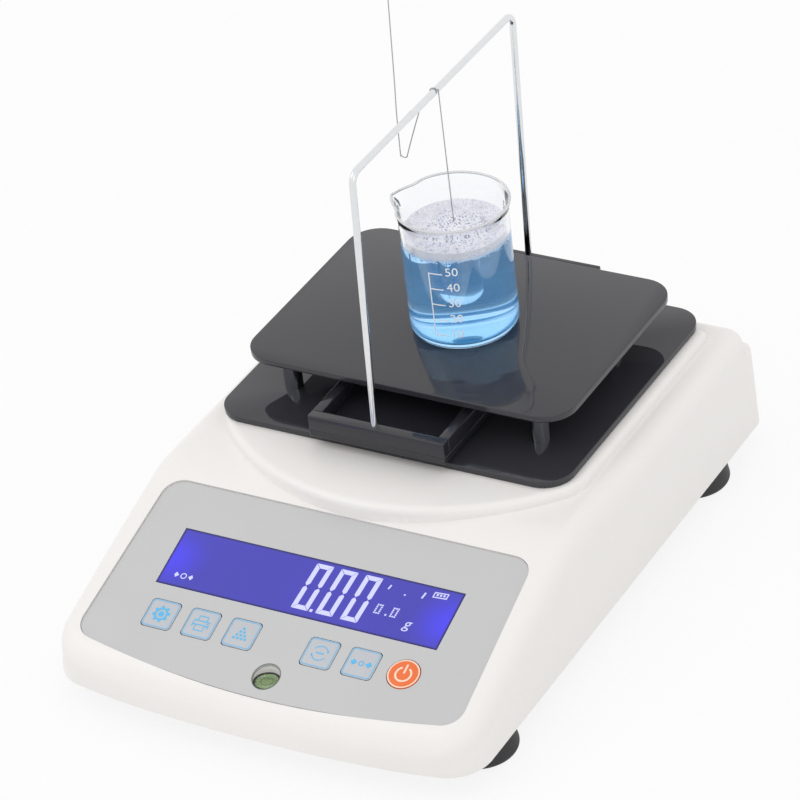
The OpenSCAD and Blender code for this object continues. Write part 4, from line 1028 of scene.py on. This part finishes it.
def segmentLoops(s):
    # the six lit bars of a nought, each with mitred ends, in a box of the digit's width and height
    w, h, t, g = s["width"], s["high"] - s["low"], s["stroke"], s["gap"]
    m = h / 2
    top = [(g, h), (w - g, h), (w - t - g, h - t), (t + g, h - t)]
    bottom = [(g, 0), (t + g, t), (w - t - g, t), (w - g, 0)]
    upLeft = [(0, h - g), (t, h - t - g), (t, m + t * 0.62), (t * 0.45, m + g * 0.7), (0, m + t * 0.5)]
    lowLeft = [(0, g), (0, m - t * 0.5), (t * 0.45, m - g * 0.7), (t, m - t * 0.62), (t, t + g)]
    return [top, bottom, upLeft, lowLeft] + [[(w - x, y) for x, y in side[::-1]] for side in (upLeft, lowLeft)]


def displayDigits(s, lift):
    shapes = []
    for left in s["left"]:
        for loop in segmentLoops(s):
            x, y = np.array(loop).T
            shapes.append(patch(np.stack([left + x + s["slant"] * y, s["low"] + y], -1), *lift))
    return joined(shapes + [boxMark(*s["point"], *lift)])


signSizes = {"zero": (-56.3, 5.5), "cell": (51.6, 23.0), "dots": (30.8, 38.2), "dotRow": 9.6, "dot": 0.72}


def arrowHead(middle, side, near, mid, far, half, put):
    # a four-cornered head to one side of the sign's middle, whose points lie near, mid and far from it
    u, v = middle
    corners = [(u + side * near, v), (u + side * mid, v - half), (u + side * far, v), (u + side * mid, v + half)]
    return patch(corners[::side], *put)


def displaySigns(s, put):
    # a zero mark with two arrow heads, a cell sign, a few small ticks and a dotted number
    shapes = [arcLine(s["zero"], 1.2, 0, 360, 0.45, *put)]
    shapes += [arrowHead(s["zero"], side, 2.2, 3.6, 4.4, 1.3, put) for side in (-1, 1)]
    frameLoops = (((0, 0), (6.4, 0.4), (6.6, 3.2), (0.2, 2.8)),
                  ((0.5, 0.5), (5.9, 0.9), (6.1, 2.7), (0.7, 2.3)))
    shapes.append(band(*(np.array(loop) + s["cell"] for loop in frameLoops), *put))
    shapes += [boxMark(53.0 + k * 1.5, 24.1 + k * 0.1, 53.9 + k * 1.5, 25.1 + k * 0.1, *put) for k in range(3)]
    shapes.append(stripe([(31.9, 22.0), (32.5, 24.2)], 0.7, *put))
    shapes.append(stripe([(47.6, 21.4), (48.2, 24.4)], 0.8, *put))
    shapes.append(disc((40.0, 21.1), 0.4, *put))
    for left in s["dots"]:
        for row in range(5):
            for col in range(3):
                if row in (0, 4) or col != 1:  # a nought of three by five dots
                    u, v = left + col + row * 0.06, s["dotRow"] + row
                    shapes.append(boxMark(u, v, u + s["dot"], v + s["dot"], *put))
    return joined(shapes + [boxMark(36.0, 9.6, 36.8, 10.4, *put)])


panelPiece("displayDigits", displayDigits(digitSizes, printLift["digit"]), "housing", inkPale)
panelPiece("displaySigns", displaySigns(signSizes, printLift["sign"]), "housing", inkPale)


def lettering(text, size, stretch=1.0):
    # plain numerals from the program's own type, as points and faces about their own middle
    line = bpy.data.curves.new("lettering", "FONT")
    line.body = text
    line.size = size
    line.extrude = 0.02
    line.resolution_u = 3
    line.align_x = "CENTER"
    holder = inScene("lettering", line)
    mesh = bakedMesh(holder)
    reworked(mesh, merged(1e-5))
    points = np.zeros(len(mesh.vertices) * 3, np.float32)
    mesh.vertices.foreach_get("co", points)
    faces = [list(p.vertices) for p in mesh.polygons]
    bpy.data.objects.remove(holder)
    bpy.data.curves.remove(line)
    bpy.data.meshes.remove(mesh)
    return points.reshape(-1, 3).astype(float) * (stretch, 1, 1), faces


unitSizes = {"height": 7.0, "place": (47.4, 6.2, 0.05), "slant": 0.18}


def unitSign(s):
    points, faces = lettering("g", s["height"])
    points = points + s["place"]
    points[:, 0] += (points[:, 1] - s["place"][1]) * s["slant"]
    return onPanel(points), faces


makePiece("unitSign", unitSign(unitSizes), "housing", inkPale, angle=60)

scaleSizes = {"line": -92.0, "tick": 15.0, "text": -67.0, "height": 5.576, "stretch": 1.02, "above": 1.2,
              "stroke": 0.5, "marks": ((50, 125.5), (40, 118.0), (30, 110.4), (20, 102.8), (10, 95.3))}


def ribbon(along, z, reach, put):
    # the patch that a row of points leaves when it is moved from minus to plus the reach
    path = np.stack(np.broadcast_arrays(along, z), -1)
    return patch(np.concatenate([path - reach, (path + reach)[::-1]]), *put)


def beakerScale(s, put):
    # an upright line, and a tick with its number at each mark; widths are turned into degrees round the glass
    perMm, half = math.degrees(1 / beakerSizes["radius"]), s["stroke"] / 2
    tall = np.linspace(s["marks"][-1][1] - half, s["marks"][0][1] + half, 12)
    shapes = [ribbon(s["line"], tall, (half * perMm, 0), put)]
    for value, z in s["marks"]:
        shapes.append(ribbon(np.linspace(s["line"], s["line"] + s["tick"], 8), z, (0, half), put))
        points, faces = lettering(str(value), s["height"], s["stretch"])
        x, y = (points[:, :2] - (points[:, :2].max(0) + points[:, :2].min(0)) / 2).T
        shapes.append((np.stack([s["text"] + x * perMm, z + s["above"] + y, points[:, 2] + 0.05], -1), faces))
    return joined(shapes)


makePiece("beakerScale", laid(beakerScale(scaleSizes, printLift["digit"]), onGlass),
          "beaker_glassware", inkWhite, angle=60)
print("beaker, liquid, foam and print made")

# keys, bubble level and panel trim
keySizes = {"pitch": 19.05, "row": -14.5, "steps": (-2.97, -1.97, -0.96, 0.96, 1.96, 2.97), "side": 13.6,
            "corner": 2.0, "powerR": 6.9, "top": 0.25, "bottom": -1.0, "edge": 0.22, "line": (0.5, 1.5),
            "sign": (0.26, 0.31)}


def keyAt(k):
    return np.array([keySizes["steps"][k] * keySizes["pitch"], keySizes["row"]])


def keyCap(k, s):
    # a square or, for the last, a round cap with a soft edge
    inset, height = softEdge(s["bottom"], s["top"], s["edge"])
    if k == 5:
        loops = [circleLoop(s["powerR"] - q, 72) for q in inset]
    else:
        loops = [roundedLoop(s["side"] - 2 * q, s["side"] - 2 * q, s["corner"] - q) for q in inset]
    return loft(ringsAt(np.array(loops), height, keyAt(k)))


def keyOutline(k, s):
    outer, inner = (roundedLoop(s["side"] - q, s["side"] - q, s["corner"] - r) + keyAt(k)
                    for q, r in zip(s["line"], (0.25, 0.7)))
    return band(outer, inner, s["top"] + 0.01, s["top"] + 0.05)


def pathAt(middle, corners, width, put):
    return stripe(np.array(corners) + middle, width, *put)


def sheet(half, low, high):
    # the three sides of a box, open towards low
    return [(-half, low), (-half, high), (half, high), (half, low)]


def iconShapes(k, at, put):
    # plain signs: a toothed wheel, a sheet feeder, a heap of dots, two bent arrows,
    # and a nought between arrow heads
    u, v = at
    if k == 0:
        a = np.linspace(0, 2 * math.pi, 160, endpoint=False)
        wheel = circleLoop(1, 160)
        teeth = (3.5 + 0.45 * np.clip(np.sin(8 * a) * 2.2, -1, 1))[:, None]
        return [band(at + teeth * wheel, at + 2.15 * wheel, *put), disc(at, 1.35, *put)]
    if k == 1:
        return [pathAt(at, sheet(3.6, -1.9, 1.3), 0.55, put), pathAt(at, sheet(2.0, 1.6, 3.6), 0.5, put),
                pathAt(at, sheet(2.1, -1.0, -3.4), 0.5, put), boxMark(u - 3.3, v - 0.9, u + 3.3, v - 0.4, *put),
                disc((u + 2.6, v + 0.45), 0.4, *put)]
    if k == 2:
        heap = [(u + (i - row / 2) * 1.75, v + 2.6 - row * 1.65) for row in range(4) for i in range(row + 1)]
        return [disc(dot, 0.62, *put) for dot in heap]
    if k == 3:
        heads = [patch(side * np.array([(2.6, 1.0), (3.7, 0.9), (3.3, 2.1)]) + at, *put) for side in (1, -1)]
        return [arcLine(at, 3.4, start, start + 125, 0.4, *put) for start in (25, 205)] + heads + \
            [disc((u + side * 1.2, v), 0.5, *put) for side in (-1, 0, 1)]
    return [arcLine(at, 1.0, 0, 360, 0.45, *put)] + [
        arrowHead(at, side, 1.9, 3.6, 4.9, 1.5, put) for side in (-1, 1)]


def addKeys(s):
    for k in range(5):
        name, body = "key_%d" % (k + 1), "key_%d_body" % (k + 1)
        lift = (s["top"] + 0.01, s["top"] + 0.06)
        panelPiece("keyCap%d" % (k + 1), keyCap(k, s), body, "key_grey", (name,))
        panelPiece("keyOutline%d" % (k + 1), keyOutline(k, s), body, inkLine)
        panelPiece("keySign%d" % (k + 1), joined(iconShapes(k, keyAt(k), lift)), body, inkBlue)
    body = "key_power_body"
    panelPiece("keyCapPower", keyCap(5, s), body, "key_orange", ("key_power",))
    marks = [arcLine(keyAt(5) + (0, -0.2), 3.3, 118, 422, 0.85, *s["sign"], 48),
             pathAt(keyAt(5), [(0, 0.2), (0, 4.6)], 0.85, s["sign"])]
    panelPiece("powerSign", joined(marks), body, inkCream)
    outer, inner = (circleLoop(s["powerR"] - q, 72) + keyAt(5) for q in (0.15, 0.75))
    panelPiece("powerRing", band(outer, inner, 0.24, 0.29), body, inkCream)


addKeys(keySizes)

levelLow, levelHigh = (np.array(c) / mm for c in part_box("level_glass"))
levelSizes = {"centre": (levelLow + levelHigh)[:2] / 2, "top": levelHigh[2], "glassLow": levelLow[2],
              "bubble": 1.9, "bubbleAt": (-0.5, 0.9), "ring": (2.35, 2.6), "hole": 5.8, "line": 0.3,
              "holeAt": (1.4, -30.7)}


def levelBubble(s):
    # a flat drop of air under the glass, a little off the middle
    a = np.linspace(0.05, math.pi - 0.05, 12)
    return turned(s["bubble"] * np.sin(a), s["glassLow"] - 0.62 - 0.6 * np.cos(a),
                  s["centre"] + s["bubbleAt"], 40)


def levelRing(s):
    low, high = s["top"] + 0.02, s["top"] + 0.06
    inner, outer = (circleLoop(r, 64) + s["centre"] for r in s["ring"])
    return band(outer, inner, low, high)


def levelRim(s):
    # the standing hole meets the leaning panel in an ellipse, as long again as 1 / cos of the lean
    stretch = (1, 1 / math.cos(math.radians(panelAt["slope"])))
    outer, inner = (circleLoop(r, 72) * stretch + s["holeAt"] for r in (s["hole"] + s["line"], s["hole"]))
    return band(outer, inner, 0.01, 0.06)


makePiece("levelBubble", levelBubble(levelSizes), "housing", makeGlassMaterial("bubbleAir", (1, 1, 1), 1.02))
makePiece("levelRing", levelRing(levelSizes), "housing", ringDark)
panelPiece("levelRim", levelRim(levelSizes), "housing", ringDark)
print("keys and level made")

# floor, world and lamps
studio = {"world": 0.92, "floor": (0.86, 0.86, 0.86, 1), "floorGlow": 0.86, "white": (1, 1, 1, 1), "half": 6.0,
          "aim": (0, 0.03, 0.06),
          "lamps": (("keyLamp", (-0.7, -0.5, 1.1), 0.7, 1.8), ("fillLamp", (0.9, -0.6, 0.8), 0.8, 0.6))}


def seenFactor(tree):
    # 1 for rays that the eye, a mirror or a glass sends out, 0 for the rest
    path = wire(tree, "LightPath").node.outputs
    first = worked(tree, "MAXIMUM", path["Is Camera Ray"], path["Is Glossy Ray"])
    return worked(tree, "MAXIMUM", first, path["Is Transmission Ray"])


def makeWorld(s):
    world = bpy.data.worlds.new("studioWorld")
    world.use_nodes = True
    tree = world.node_tree
    strength = ranged(tree, seenFactor(tree), 0.0, 1.0, s["world"], 1.0)
    feed(tree, tree.nodes["Background"], {"Color": s["white"], "Strength": strength})
    bpy.context.scene.world = world


def makeFloor(s):
    material, tree, shader = startMaterial("floorPale")
    feed(tree, shader, {"Base Color": s["floor"], "Roughness": 0.9})
    glow = wire(tree, "Emission", {"Color": s["white"], "Strength": 1.0})
    share = worked(tree, "MULTIPLY", seenFactor(tree), s["floorGlow"])
    mixed = wire(tree, "MixShader", {0: share, 1: shader.outputs[0], 2: glow})
    feed(tree, tree.nodes["Material Output"], {"Surface": mixed})
    mesh = bpy.data.meshes.new("floor")
    corners = [(x * s["half"], y * s["half"], 0) for x, y in ((-1, -1), (1, -1), (1, 1), (-1, 1))]
    mesh.from_pydata(corners, [], [(0, 1, 2, 3)])
    mesh.materials.append(material)
    inScene("floor", mesh)


def makeLamp(name, place, size, power, aim):
    lamp = bpy.data.lights.new(name, "AREA")
    lamp.energy = power
    lamp.size = size
    holder = inScene(name, lamp)
    holder.location = place
    holder.rotation_mode = "QUATERNION"
    holder.rotation_quaternion = Vector(np.array(aim) - place).to_track_quat("-Z", "Y")


makeWorld(studio)
makeFloor(studio)
for lamp in studio["lamps"]:
    makeLamp(*lamp, studio["aim"])

bpy.context.scene.view_settings.view_transform = "Standard"
